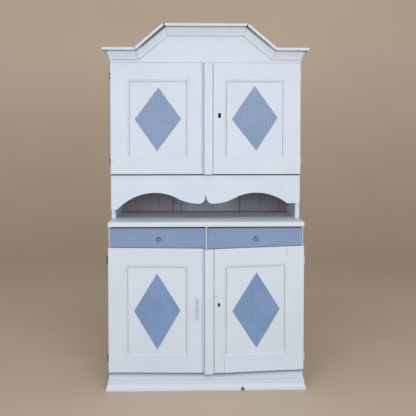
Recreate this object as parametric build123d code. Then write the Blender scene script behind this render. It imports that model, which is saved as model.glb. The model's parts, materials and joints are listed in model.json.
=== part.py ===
from build123d import *
import math
import os

# A painted country cupboard in two parts. The base has two drawers over a pair of doors. The
# upper case stands back on the counter, over an open niche, with a pair of doors and a stepped
# cornice. Millimetres, +X to the right, +Y to the back, +Z up, origin under the middle.

# Case
case_width = 996.0
side_thickness = 22.0
counter_depth = 458.0
counter_thickness = 25.0
counter_overhang = 10.0
upper_depth = 300.0
board_thickness = 22.0
housing_depth = 8.0

# Back boards, let into rebates in the sides
back_thickness = 14.0
back_rebate = 12.0
back_joint = 0.8
upper_back_joints = (-180.0, -135.0, 203.0)
lower_back_joints = (-245.0, 20.0, 260.0)

# Heights
lower_door_bottom = 96.0
lower_door_height = 638.0
drawer_front_height = 100.0
niche_height = 235.5
upper_door_height = 582.0
door_overlap = 11.0
drawer_reveal = 1.2
counter_reveal = 4.8
valance_reveal = 5.5
pediment_reveal = 1.0

# Base rail under the doors, and the board in front of it with its moulding
base_rail_thickness = 20.0
base_board_thickness = 18.0
base_board_slope = 24.0
base_moulding_height = 54.0
base_moulding_reach = 14.0
base_moulding_toe = 13.0
base_moulding_fillet = 12.0
base_moulding_top_reach = 5.0
base_moulding_hollow = 2.0
chip_position = 186.0
chip_width = 10.0
chip_height = 24.0
chip_depth = 9.0

# Frame-and-panel doors, lying on the front of the case
door_thickness = 22.0
hinge_stile_width = 98.0
foot_rail_width = 93.0
head_rail_width = 98.5
panel_from_centre = 102.0
upper_right_panel_shift = 6.0
meeting_line = -10.0
meeting_gap = 1.5
sticking_width = 10.0
sticking_depth = 5.5
sticking_quirk = 1.5
panel_thickness = 8.0
panel_recess = 6.5
groove_depth = 8.0
panel_play = 1.0
tenon_length = 55.0
tenon_thickness = 7.0
tenon_inset = 15.0

# Lower doors, sunk with age at the meeting line
left_door_sag = 6.0
right_door_sag = 18.0
right_door_rise = 7.0

# Strip that covers the meeting line, planted on the right doors
strip_width = 48.0
strip_thickness = 10.0
strip_round = 7.0
strip_drop = 2.0

# Butt hinges
hinge_height = 36.0
hinge_leaf_width = 18.0
hinge_leaf_thickness = 2.0
knuckle_radius = 4.5
knuckle_side_clearance = 0.5
knuckle_gap = 0.3
hinge_pin_radius = 2.0
hinge_pin_head_radius = 3.2
hinge_pin_head_height = 3.0
turning_clearance = 0.05
upper_hinge_inset = 65.0
lower_hinge_inset = 68.0

# Box locks on the backs of the right doors
upper_keyhole_backset = 82.0
upper_keyhole_height = 311.0
lower_keyhole_backset = 74.0
lower_keyhole_height = 354.0
upper_keyhole_size = 1.3
lower_keyhole_size = 1.0
keyhole_round = 6.0
keyhole_slot_width = 10.5
keyhole_slot_height = 14.0
lock_margin = 22.0
lock_edge_setback = 2.0
lock_height = 70.0
lock_depth = 16.0
lock_wall = 2.0
lock_guide_distance = 40.0
lock_bolt_height = 16.0
lock_bolt_thickness = 6.0
lock_bolt_length = 62.0
lock_bolt_rise = 18.0
slide_clearance = 0.3

# Drawers, with lipped fronts
drawer_front_thickness = 20.0
drawer_side_reveal = 11.0
drawer_middle_reveal = 6.0
partition_nose_width = 9.0
drawer_side_thickness = 12.0
drawer_bottom_thickness = 8.0
drawer_bottom_rise = 10.0
drawer_groove_depth = 6.0
drawer_back_clearance = 22.0
drawer_side_clearance = 2.0
drawer_head_room = 8.0
drawer_rail_depth = 60.0
runner_width = 24.0
dovetail_count = 3
dovetail_length = 13.0
dovetail_root = 12.0
dovetail_flare = 4.0

# Ring pulls
pull_ring_radius = 9.0
pull_wire_radius = 1.5
pull_eye_wire_radius = 1.5
pull_eye_play = 1.0
pull_shank_radius = 2.2
pull_face_gap = 1.0
pull_rise = 0.0
pull_shift = 4.0
pull_clearance = 0.3
clinch_length = 9.0

# Shelves on cleats
shelf_thickness = 18.0
shelf_setback = 30.0
shelf_play = 1.0
cleat_height = 24.0
cleat_thickness = 16.0
upper_shelf_heights = (180.0, 370.0)
lower_shelf_height = 300.0

# Shaped board over the niche
valance_thickness = 15.0
arch_peak_height = 136.0
arch_radius = 270.0
lobe_drop = 58.0
lobe_radius = 33.0
cusp_half_width = 3.0
cusp_rise = 13.0
left_foot_width = 33.0
left_foot_height = 48.0
right_foot_height = 80.0

# Cornice, on a board that steps up in the middle
pediment_thickness = 20.0
frieze_height = 14.0
cornice_rise = 124.0
shoulder_position = 348.0
peak_position = 197.0
cove_height = 39.5
cove_foot_reach = 4.0
cove_top_reach = 22.0
cove_hollow = 3.0
cornice_quirk_height = 6.0
cornice_quirk_reach = 10.0
fillet_thickness = 15.0
fillet_reach = 40.0
fillet_nose = 4.0
mitre_gap = 0.8
open_mitre = 4.0
left_rake_lift = 1.2
right_rake_lift = 0.4

# Wire hook on the lower doors, hanging from its pin
hook_pin_position = -48.0
hook_pin_height = 377.0
hook_pin_radius = 2.0
hook_pin_head_radius = 4.5
hook_pin_head_height = 2.0
hook_wire_radius = 1.8
hook_strip_clearance = 2.5
hook_length = 100.0
hook_bend_radius = 6.0
hook_tip_length = 8.0
hook_shank_depth = 14.0
catch_eye_position = 51.0
catch_eye_height = 398.0
catch_eye_radius = 5.0
catch_eye_wire_radius = 1.5

# Planes that the sizes above give
half_width = case_width / 2
hinge_axis_x = half_width + knuckle_radius + knuckle_side_clearance
inner_half = half_width - side_thickness
lower_depth = counter_depth - counter_overhang - door_thickness
front_reach = base_board_thickness + base_moulding_reach
back_face = (lower_depth + front_reach) / 2
back_inner = back_face - back_thickness
lower_front = back_face - lower_depth
upper_front = back_face - upper_depth
drawer_box_back = back_inner - drawer_back_clearance
counter_front = lower_front - door_thickness - counter_overhang
pediment_face = upper_front - pediment_thickness

lower_door_top = lower_door_bottom + lower_door_height
drawer_bottom = lower_door_top + drawer_reveal
drawer_top = drawer_bottom + drawer_front_height
counter_bottom = drawer_top + counter_reveal
counter_top = counter_bottom + counter_thickness
upper_door_bottom = counter_top + niche_height
upper_door_top = upper_door_bottom + upper_door_height
pediment_bottom = upper_door_top + pediment_reveal
cornice_line = pediment_bottom + frieze_height
cornice_bed = cove_height + cornice_quirk_height
upper_side_top = cornice_line + cornice_bed

lower_floor_top = lower_door_bottom + door_overlap
lower_floor_under = lower_floor_top - board_thickness
rail_top = drawer_bottom + door_overlap
rail_under = lower_door_top + right_door_rise - right_door_sag - door_overlap
runner_under = rail_top - board_thickness
upper_floor_top = upper_door_bottom + door_overlap
upper_floor_under = upper_floor_top - board_thickness
upper_ceiling = upper_door_top - door_overlap

pull_eye_radius = pull_wire_radius + pull_eye_wire_radius + pull_eye_play
pull_standoff = pull_eye_radius + pull_eye_wire_radius + pull_face_gap
pull_hang = pull_eye_play - pull_clearance

nodes = {}


def board(x0, x1, y0, y1, z0, z1):
    """A rectangular board between two corners."""
    middle = ((x0 + x1) / 2, (y0 + y1) / 2, (z0 + z1) / 2)
    return Pos(*middle) * Box(abs(x1 - x0), abs(y1 - y0), abs(z1 - z0))


def front_prism(face, y0, y1):
    """A face drawn in X and Z, made solid from y0 back to y1."""
    return extrude(Plane.XZ.offset(-y0) * face, amount=y1 - y0, dir=(0, 1, 0))


def side_prism(face, x0, x1):
    """A face drawn in Y and Z, made solid from x0 to x1."""
    return extrude(Plane.YZ.offset(x0) * face, amount=x1 - x0, dir=(1, 0, 0))


def polygon(*points):
    return Polygon(*points, align=None)


def rod(start, direction, length, radius):
    """A round bar from a point along a direction."""
    return extrude(Plane(start, z_dir=direction) * Circle(radius), amount=length)


def ring(centre, axis, radius, wire_radius):
    """A closed ring of round wire."""
    return Plane(centre, z_dir=axis) * Torus(radius, wire_radius)


def keep(name, *solids):
    """Store the separate solids of one node."""
    loose = [solid for shape in solids for solid in shape.solids()]
    nodes[name] = loose[0] if len(loose) == 1 else Compound(loose)


# Mouldings


def moulding(path, section, gaps):
    """Straight lengths of one section along a path, mitred where the path turns.

    The section is drawn in outward reach and height. gaps gives the open width at each turn.
    """
    points = [Vector(*point) for point in path]
    ways = [(b - a).normalized() for a, b in zip(points, points[1:])]
    lengths = []
    spare = fillet_reach + cornice_bed + fillet_thickness
    for index, way in enumerate(ways):
        start, end = points[index], points[index + 1]
        outward = way.cross(Vector(0, 0, 1)).normalized()
        first, last = index == 0, index == len(ways) - 1
        back = 0 if first else spare
        ahead = 0 if last else spare
        plane = Plane(start - way * back, x_dir=outward, z_dir=way * -1)
        run = (end - start).length + back + ahead
        length = extrude(plane * section, amount=run, dir=way)
        if not first:
            turn = (ways[index - 1] + way).normalized()
            cut = Plane(start + turn * (gaps[index - 1] / 2), z_dir=turn)
            length = split(length, bisect_by=cut, keep=Keep.TOP)
        if not last:
            turn = (way + ways[index + 1]).normalized()
            cut = Plane(end - turn * (gaps[index] / 2), z_dir=turn)
            length = split(length, bisect_by=cut, keep=Keep.BOTTOM)
        lengths.append(length)
    return lengths


def make_base():
    keep("base_rail", board(-inner_half, inner_half, lower_front, lower_front + base_rail_thickness,
                            0, lower_floor_under))
    board_face = lower_front - base_board_thickness
    sloped = polygon((lower_front, 0), (board_face, 0), (board_face, base_moulding_height),
                     (lower_front, base_moulding_height + base_board_slope))
    keep("base_board", side_prism(sloped, -half_width, half_width))
    slope_top = base_moulding_height - base_moulding_fillet
    hollow = ((base_moulding_reach + base_moulding_top_reach) / 2 - base_moulding_hollow,
              (base_moulding_toe + slope_top) / 2)
    section = make_face(
        Polyline((base_moulding_top_reach, slope_top), (base_moulding_top_reach, base_moulding_height),
                 (0, base_moulding_height), (0, 0), (base_moulding_reach, 0),
                 (base_moulding_reach, base_moulding_toe))
        + ThreePointArc((base_moulding_reach, base_moulding_toe), hollow,
                        (base_moulding_top_reach, slope_top)))
    path = [(-half_width, back_face, 0), (-half_width, board_face, 0),
            (half_width, board_face, 0), (half_width, back_face, 0)]
    left, front, right = moulding(path, section, [mitre_gap] * 2)
    outer = board_face - base_moulding_reach
    chip = front_prism(polygon((chip_position - chip_width, 0), (chip_position + chip_width, 0),
                               (chip_position + chip_width / 2, chip_height / 2),
                               (chip_position - chip_width / 3, chip_height)),
                       outer, outer + chip_depth)
    keep("base_moulding", left, front - chip, right)


def make_cornice():
    face = pediment_face
    low, high = cornice_line, cornice_line + cornice_rise
    outline = [(-half_width, low), (-shoulder_position, low), (-peak_position, high),
               (peak_position, high), (shoulder_position, low), (half_width, low)]
    path = [(-half_width, back_face, low)]
    path += [(x, face, z) for x, z in outline]
    path += [(half_width, back_face, low)]

    slope = math.atan2(cornice_rise, shoulder_position - peak_position)
    shift = cornice_bed * math.tan(slope / 2)
    top = [(half_width, low + cornice_bed), (shoulder_position + shift, low + cornice_bed),
           (peak_position + shift, high + cornice_bed)]
    mirrored = [(-x, z) for x, z in reversed(top)]
    pediment = polygon((-half_width, pediment_bottom), (half_width, pediment_bottom), *top, *mirrored)
    keep("pediment_board", front_prism(pediment, face, upper_front))

    middle = ((cove_foot_reach + cove_top_reach) / 2 - cove_hollow, cove_height / 2)
    cove = make_face(
        Polyline((cove_top_reach, cove_height), (cornice_quirk_reach, cove_height),
                 (cornice_quirk_reach, cornice_bed), (0, cornice_bed), (0, 0), (cove_foot_reach, 0))
        + ThreePointArc((cove_foot_reach, 0), middle, (cove_top_reach, cove_height)))
    turns = len(path) - 2
    keep("cornice_cove", *moulding(path, cove, [mitre_gap] * turns))

    board_section = Pos((fillet_reach - pediment_thickness) / 2, cornice_bed + fillet_thickness / 2)
    fillet_face = board_section * Rectangle(fillet_reach + pediment_thickness, fillet_thickness)
    nose = fillet_face.vertices().group_by(Axis.X)[-1]
    gaps = [mitre_gap, mitre_gap, open_mitre, open_mitre, mitre_gap, mitre_gap]
    lengths = moulding(path, fillet(nose, fillet_nose), gaps)
    for index, side, lift in ((2, -1, left_rake_lift), (4, 1, right_rake_lift)):
        heel = (side * (shoulder_position + shift), face, low + cornice_bed)
        lengths[index] = lengths[index].rotate(Axis(heel, (0, 1, 0)), side * lift)
    keep("cornice_fillet", *lengths)


# Case boards


def hinge_places():
    """Side, hinge height and case front of every hinge."""
    places = []
    for side in (-1, 1):
        for bottom, top, inset, front in (
                (upper_door_bottom, upper_door_top, upper_hinge_inset, upper_front),
                (lower_door_bottom, lower_door_top, lower_hinge_inset, lower_front)):
            for middle in (bottom + inset, top - inset):
                places.append((side, middle, front))
    return places


def leaf_plate(side, middle, front, direction):
    """The flat of one hinge leaf, on the case (+1) or on the door (-1)."""
    outer = side * half_width
    return board(outer, outer - side * hinge_leaf_width, front, front + direction * hinge_leaf_thickness,
                 middle - hinge_height / 2, middle + hinge_height / 2)


def side_board(side, front, bottom, top, back_bottom):
    """A side with the rebate for the back boards and the recesses for its hinge leaves."""
    outer = side * half_width
    inner = side * inner_half
    blank = board(outer, inner, front, back_face, bottom, top)
    rebate = board(inner, inner + side * back_rebate, back_inner, back_face, back_bottom, top)
    blank -= rebate
    for place_side, middle, place_front in hinge_places():
        if place_side == side and place_front == front:
            blank -= leaf_plate(side, middle, front, 1)
    return blank


def back_boards(joints, bottom, top):
    """Upright boards that fill the back between the two rebates."""
    edge = inner_half + back_rebate
    lines = [-edge - back_joint / 2, *joints, edge + back_joint / 2]
    return [board(a + back_joint / 2, b - back_joint / 2, back_inner, back_face, bottom, top)
            for a, b in zip(lines, lines[1:])]


def housed_board(front, back, bottom, top):
    """A board across the case, its ends let into the sides."""
    reach = inner_half + housing_depth
    return board(-reach, reach, front, back, bottom, top)


def make_case():
    floor_low = housed_board(lower_front, back_inner, lower_floor_under, lower_floor_top)
    rail = housed_board(lower_front, lower_front + drawer_rail_depth, rail_under, rail_top)
    floor_high = housed_board(upper_front, back_inner, upper_floor_under, upper_floor_top)
    ceiling = housed_board(upper_front, back_inner, upper_ceiling, upper_ceiling + board_thickness)
    for side, word in ((-1, "left"), (1, "right")):
        low = side_board(side, lower_front, 0, counter_bottom, lower_floor_under)
        keep(f"lower_side_{word}", low - floor_low - rail)
        high = side_board(side, upper_front, counter_top, upper_side_top, counter_top)
        keep(f"upper_side_{word}", high - floor_high - ceiling)
    keep("lower_bottom", floor_low)
    keep("drawer_rail", rail)
    keep("upper_bottom", floor_high)
    keep("upper_top", ceiling)
    keep("counter_top", board(-half_width, half_width, counter_front, back_face,
                              counter_bottom, counter_top))
    keep("lower_back_boards", *back_boards(lower_back_joints, lower_floor_under, counter_bottom))
    keep("upper_back_boards", *back_boards(upper_back_joints, counter_top, upper_side_top))

    partition = board(-board_thickness / 2, board_thickness / 2, lower_front, back_inner,
                      rail_top, counter_bottom)
    nose = partition_nose_width / 2
    nose_foot = drawer_bottom + door_shift("lower", 1, nose)
    partition += board(-nose, nose, lower_front - drawer_front_thickness, lower_front,
                       nose_foot, counter_bottom)
    keep("drawer_partition", partition)
    runner_front = lower_front + drawer_rail_depth
    spans = [(-inner_half, -inner_half + runner_width),
             (-board_thickness / 2 - runner_width, board_thickness / 2 + runner_width),
             (inner_half - runner_width, inner_half)]
    keep("drawer_runners", *[board(a, b, runner_front, back_inner, runner_under, rail_top)
                             for a, b in spans])


def make_shelves():
    """Loose shelves, each on a cleat at either end."""
    upper = [(upper_front, upper_floor_top + height) for height in upper_shelf_heights]
    lower = (lower_front, lower_floor_top + lower_shelf_height)
    reach = inner_half - shelf_play

    def shelf(front, under):
        return board(-reach, reach, front + shelf_setback, back_inner, under, under + shelf_thickness)

    keep("upper_shelves", *[shelf(*place) for place in upper])
    keep("lower_shelf", shelf(*lower))
    cleats = []
    for front, under in [*upper, lower]:
        for side in (-1, 1):
            cleats.append(board(side * inner_half, side * (inner_half - cleat_thickness),
                                front + shelf_setback, back_inner, under - cleat_height, under))
    keep("shelf_cleats", *cleats)


def make_valance():
    """The scalloped board: two arches that meet in lobes beside a pointed cusp."""
    peak_z = counter_top + arch_peak_height
    lobe_z = peak_z - lobe_drop
    cusp_z = lobe_z + lobe_radius + cusp_rise
    lobe_x = cusp_half_width + lobe_radius

    def arch_reach(foot_height):
        return math.sqrt(arch_radius ** 2 - (arch_radius - arch_peak_height + foot_height) ** 2)

    peak_x = half_width - left_foot_width - arch_reach(left_foot_height)
    half_run = (peak_x - lobe_x) / 2
    ogee = (half_run ** 2 + (lobe_drop / 2) ** 2) / lobe_drop
    swing = math.asin(half_run / ogee) / 2

    def half(side, foot_height):
        foot_z = counter_top + foot_height
        reach = arch_reach(foot_height)
        turn = math.asin(reach / arch_radius) / 2
        foot = (side * (peak_x + reach), foot_z)
        peak = (side * peak_x, peak_z)
        lobe = (side * lobe_x, lobe_z)
        lip = (side * cusp_half_width, lobe_z + lobe_radius)
        arch_middle = (side * (peak_x + arch_radius * math.sin(turn)),
                       peak_z - arch_radius * (1 - math.cos(turn)))
        over = (side * (peak_x - ogee * math.sin(swing)), peak_z - ogee * (1 - math.cos(swing)))
        bend = (side * (peak_x + lobe_x) / 2, (peak_z + lobe_z) / 2)
        under = (side * (lobe_x + ogee * math.sin(swing)), lobe_z + ogee * (1 - math.cos(swing)))
        curl = (side * (lobe_x - lobe_radius * math.sin(math.pi / 4)),
                lobe_z + lobe_radius * (1 - math.cos(math.pi / 4)))
        return [Line((side * half_width, foot_z), foot), ThreePointArc(foot, arch_middle, peak),
                ThreePointArc(peak, over, bend), ThreePointArc(bend, under, lobe),
                ThreePointArc(lobe, curl, lip), Line(lip, (0, cusp_z))]

    top_z = upper_door_bottom - valance_reveal
    left_z = counter_top + left_foot_height
    right_z = counter_top + right_foot_height
    head = Polyline((-half_width, left_z), (-half_width, top_z), (half_width, top_z), (half_width, right_z))
    outline = make_face(Curve() + half(-1, left_foot_height) + half(1, right_foot_height) + head)
    keep("valance", front_prism(outline, upper_front - valance_thickness, upper_front))


# Hinges


def make_hinges():
    """Butt hinges of three knuckles, their leaves let in flush."""
    segment = (hinge_height - 2 * knuckle_gap) / 3
    case_leaves, pins, door_leaves = [], [], {}
    for side, middle, front in hinge_places():
        axis_x = side * hinge_axis_x
        bottom = middle - hinge_height / 2
        starts = [bottom + index * (segment + knuckle_gap) for index in range(3)]
        bore = rod((axis_x, front, bottom), (0, 0, 1), hinge_height, hinge_pin_radius + turning_clearance)

        def leaf(direction, own):
            plate = leaf_plate(side, middle, front, direction)
            for start in own:
                plate += rod((axis_x, front, start), (0, 0, 1), segment, knuckle_radius)
                plate += board(axis_x, side * half_width, front, front + direction * hinge_leaf_thickness,
                               start, start + segment)
            return plate - bore

        case_leaves.append(leaf(1, [starts[0], starts[2]]))
        word = "left" if side < 0 else "right"
        tier = "upper" if front == upper_front else "lower"
        door_leaves.setdefault(f"{tier}_{word}_door_hinge_leaves", []).append(leaf(-1, [starts[1]]))
        pin = rod((axis_x, front, bottom), (0, 0, 1), hinge_height, hinge_pin_radius)
        for end in (bottom - hinge_pin_head_height, bottom + hinge_height):
            pin += rod((axis_x, front, end), (0, 0, 1), hinge_pin_head_height, hinge_pin_head_radius)
        pins.append(pin)
    keep("hinge_case_leaves", *case_leaves)
    keep("hinge_pins", *pins)
    for name, leaves in door_leaves.items():
        keep(name, *leaves)


# Doors


def framing_section(width):
    """Section of a stile or rail, from its outer edge to the panel, with the stuck moulding and groove."""
    shoulder = width - sticking_width
    groove_back = panel_recess + panel_thickness
    ovolo = (shoulder + sticking_width * math.sin(math.pi / 4),
             sticking_depth - (sticking_depth - sticking_quirk) * math.cos(math.pi / 4))
    return make_face(
        Polyline((width, sticking_depth), (width, panel_recess), (width - groove_depth, panel_recess),
                 (width - groove_depth, groove_back), (width, groove_back), (width, door_thickness),
                 (0, door_thickness), (0, 0), (shoulder, 0), (shoulder, sticking_quirk))
        + ThreePointArc((shoulder, sticking_quirk), ovolo, (width, sticking_depth)))


def keyhole(x, z, front, size):
    """The opening for the key: a round hole with a slot above it."""
    slot_height = size * keyhole_slot_height
    round_hole = Pos(x, z - slot_height / 2) * Circle(size * keyhole_round)
    slot = Pos(x, z) * Rectangle(size * keyhole_slot_width, slot_height)
    return front_prism(round_hole + slot, front - door_thickness, front)


def door_shift(tier, side, x):
    """How far a point of a door lies above its place on a door that hangs straight."""
    if tier == "upper":
        return 0.0
    sag = left_door_sag if side < 0 else right_door_sag
    rise = 0.0 if side < 0 else right_door_rise
    span = half_width - side * meeting_line
    return rise - sag * abs(side * half_width - x) / span


def make_door(tier, side):
    """Stiles, rails and panel of one door."""
    word = "left" if side < 0 else "right"
    upper = tier == "upper"
    front = upper_front if upper else lower_front
    bottom, top = (upper_door_bottom, upper_door_top) if upper else (lower_door_bottom, lower_door_top)
    face = front - door_thickness
    outer = side * half_width
    meeting = meeting_line if side > 0 else meeting_line - meeting_gap
    panel_shift = upper_right_panel_shift if upper and side > 0 else 0.0
    hinge_edge = side * (half_width - hinge_stile_width) + panel_shift
    meeting_edge = side * panel_from_centre + panel_shift
    low, high = bottom + foot_rail_width, top - head_rail_width
    outline_low, outline_high = low - sticking_width, high + sticking_width

    def hung(*corners):
        return [(x, z + door_shift(tier, side, x)) for x, z in corners]

    def stile(edge, panel_edge):
        way = 1 if panel_edge > edge else -1
        section = framing_section(abs(panel_edge - edge))
        shoulder = panel_edge - way * sticking_width
        shape = hung((edge, bottom), (shoulder, bottom), (shoulder, outline_low), (panel_edge, low),
                     (panel_edge, high), (shoulder, outline_high), (shoulder, top), (edge, top))
        foot, head = min(z for x, z in shape), max(z for x, z in shape)
        plane = Plane((edge, face, foot), x_dir=(way, 0, 0), z_dir=(0, 0, way))
        blank = extrude(plane * section, amount=head - foot, dir=(0, 0, 1))
        return blank & front_prism(polygon(*shape), face, front)

    left, right = sorted((hinge_edge, meeting_edge))
    shoulder_left, shoulder_right = left - sticking_width, right + sticking_width

    def rail(edge, panel_edge):
        way = 1 if panel_edge > edge else -1
        shoulder = panel_edge - way * sticking_width
        shape = hung((shoulder_left, edge), (shoulder_right, edge), (shoulder_right, shoulder),
                     (right, panel_edge), (left, panel_edge), (shoulder_left, shoulder))
        start, end = [Vector(x, face, z) for x, z in shape[:2]]
        plane = Plane(start, x_dir=(0, 0, way), z_dir=(-way, 0, 0))
        blank = extrude(plane * framing_section(abs(panel_edge - edge)), amount=(end - start).length,
                        dir=(end - start).normalized())
        return blank & front_prism(polygon(*shape), face, front)

    tenon_front = front - (door_thickness + tenon_thickness) / 2
    tenon_back = tenon_front + tenon_thickness
    tenons = {}
    for level, z0, z1 in (("bottom", bottom + tenon_inset, outline_low - tenon_inset),
                          ("top", outline_high + tenon_inset, top - tenon_inset)):
        tenons[level] = []
        for a, b in ((shoulder_left - tenon_length, shoulder_left),
                     (shoulder_right, shoulder_right + tenon_length)):
            shape = polygon(*hung((a, z0), (b, z0), (b, z1), (a, z1)))
            tenons[level].append(front_prism(shape, tenon_front, tenon_back))

    hinge_stile = stile(outer, hinge_edge)
    for place_side, middle, place_front in hinge_places():
        if place_side == side and place_front == front:
            hinge_stile -= leaf_plate(side, middle, front, -1)
    meeting_stile = stile(meeting, meeting_edge)
    rails = {"bottom": rail(bottom, low), "top": rail(top, high)}
    for level, pair in tenons.items():
        for tenon in pair:
            hinge_stile -= tenon
            meeting_stile -= tenon
            rails[level] += tenon
    if side > 0:
        backset = upper_keyhole_backset if upper else lower_keyhole_backset
        height = upper_keyhole_height if upper else lower_keyhole_height
        size = upper_keyhole_size if upper else lower_keyhole_size
        meeting_stile -= keyhole(*hung((meeting_line + backset, bottom + height))[0], front, size)
    if not upper:
        meeting_stile -= hook_hole(side)

    tongue = groove_depth - panel_play
    panel = front_prism(polygon(*hung((left - tongue, low - tongue), (right + tongue, low - tongue),
                                      (right + tongue, high + tongue), (left - tongue, high + tongue))),
                        face + panel_recess, face + panel_recess + panel_thickness)
    keep(f"{tier}_{word}_door_stiles", hinge_stile, meeting_stile)
    keep(f"{tier}_{word}_door_rails", rails["bottom"], rails["top"])
    keep(f"{tier}_{word}_door_panel", panel)


def make_strips():
    """The strip over each pair's meeting line, with rounded edges."""
    for tier, front, bottom, top in (("upper", upper_front, upper_door_bottom, upper_door_top),
                                     ("lower", lower_front, lower_door_bottom, lower_door_top)):
        face = front - door_thickness
        foot = bottom + door_shift(tier, 1, meeting_line) - strip_drop
        section = Pos(meeting_line + strip_width / 2, face - strip_thickness / 2) * Rectangle(
            strip_width, strip_thickness)
        section = fillet(section.vertices().group_by(Axis.Y)[0], strip_round)
        strip = extrude(Plane.XY.offset(foot) * section, amount=top - bottom, dir=(0, 0, 1))
        keep(f"{tier}_meeting_strip", strip)


# Locks


def make_lock(tier, front, bottom, backset, height):
    """A box lock on the back of the meeting stile, its bolt drawn in."""
    case_left = meeting_line + lock_edge_setback
    case_right = meeting_line + backset + lock_margin
    middle = bottom + height + door_shift(tier, 1, meeting_line + backset)
    low, high = middle - lock_height / 2, middle + lock_height / 2
    case = board(case_left, case_right, front, front + lock_depth, low, high)
    case -= board(case_left + lock_wall, case_right - lock_wall, front, front + lock_depth - lock_wall,
                  low + lock_wall, high - lock_wall)
    guide_left = case_left + lock_guide_distance
    case += board(guide_left, guide_left + lock_wall, front, front + lock_depth - lock_wall,
                  low + lock_wall, high - lock_wall)
    bolt_middle = front + (lock_depth - lock_wall) / 2
    bolt_z = middle + lock_bolt_rise
    case_slot = board(case_left, guide_left + lock_wall,
                      bolt_middle - lock_bolt_thickness / 2 - slide_clearance,
                      bolt_middle + lock_bolt_thickness / 2 + slide_clearance,
                      bolt_z - lock_bolt_height / 2 - slide_clearance,
                      bolt_z + lock_bolt_height / 2 + slide_clearance)
    keep(f"{tier}_lock_case", case - case_slot)
    keep(f"{tier}_lock_bolt", board(case_left, case_left + lock_bolt_length,
                                    bolt_middle - lock_bolt_thickness / 2,
                                    bolt_middle + lock_bolt_thickness / 2,
                                    bolt_z - lock_bolt_height / 2, bolt_z + lock_bolt_height / 2))


# Drawers


def make_drawer(side):
    """A lipped front, dovetailed to a box with its bottom in grooves, and a ring pull."""
    word = "left" if side < 0 else "right"
    face = lower_front - drawer_front_thickness
    near = side * drawer_middle_reveal
    far = side * (half_width - drawer_side_reveal)
    lip = [(x, drawer_bottom + door_shift("lower", side, x)) for x in (near, far)]
    front = front_prism(polygon(*lip, (far, drawer_top), (near, drawer_top)), face, lower_front)

    box_near = side * (board_thickness / 2 + drawer_side_clearance)
    box_far = side * (inner_half - drawer_side_clearance)
    low = rail_top + slide_clearance
    high = counter_bottom - drawer_head_room
    bottom_low = low + drawer_bottom_rise
    bottom_high = bottom_low + drawer_bottom_thickness
    reach = drawer_side_thickness - drawer_groove_depth
    bottom = board(box_near + side * reach, box_far - side * reach, lower_front - drawer_groove_depth,
                   drawer_box_back, bottom_low, bottom_high)

    pitch = (high - bottom_high) / dovetail_count
    box = []
    for edge, way in ((box_near, side), (box_far, -side)):
        x0, x1 = sorted((edge, edge + way * drawer_side_thickness))
        panel = board(x0, x1, lower_front, drawer_box_back, low, high)
        for index in range(dovetail_count):
            z = bottom_high + pitch * (index + 0.5)
            root, tip = dovetail_root / 2, dovetail_root / 2 + dovetail_flare / 2
            tail = polygon((lower_front, z - root), (lower_front - dovetail_length, z - tip),
                           (lower_front - dovetail_length, z + tip), (lower_front, z + root))
            panel += side_prism(tail, x0, x1)
        front -= panel
        box.append(panel - bottom)
    front -= bottom
    back = board(box_near + side * drawer_side_thickness, box_far - side * drawer_side_thickness,
                 drawer_box_back - drawer_side_thickness, drawer_box_back, bottom_high, high)
    keep(f"{word}_drawer_box", *box, back)
    keep(f"{word}_drawer_bottom", bottom)

    x = (near + far) / 2 + pull_shift
    z = (drawer_bottom + drawer_top) / 2 + pull_rise
    loop = (x, face - pull_standoff, z)
    shank_start = (x, face - pull_standoff + pull_eye_radius, z)
    shank_length = pull_standoff - pull_eye_radius + drawer_front_thickness + pull_eye_wire_radius
    shank = rod(shank_start, (0, 1, 0), shank_length, pull_shank_radius)
    clinch = rod((x, lower_front + pull_eye_wire_radius, z - clinch_length), (0, 0, 1), 2 * clinch_length,
                 pull_eye_wire_radius)
    keep(f"{word}_drawer_front", front - shank)
    keep(f"{word}_pull_eye", ring(loop, (1, 0, 0), pull_eye_radius, pull_eye_wire_radius) + shank + clinch)
    centre = (x, face - pull_standoff, z - pull_hang - pull_ring_radius)
    keep(f"{word}_pull_ring", ring(centre, (0, 1, 0), pull_ring_radius, pull_wire_radius))


# Hook and eye


def hook_height(side):
    """Height of the hook's pin on the left door, or of the catch eye on the right one."""
    x, height = (hook_pin_position, hook_pin_height) if side < 0 else (catch_eye_position, catch_eye_height)
    return lower_door_bottom + height + door_shift("lower", side, x)


def hook_hole(side):
    """The hole in a lower meeting stile for the hook's pin or for the catch eye."""
    face = lower_front - door_thickness
    if side < 0:
        return rod((hook_pin_position, face, hook_height(side)), (0, 1, 0), hook_shank_depth,
                   hook_pin_radius)
    return rod((catch_eye_position, face, hook_height(side)), (0, 1, 0), hook_shank_depth,
               catch_eye_wire_radius)


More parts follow.
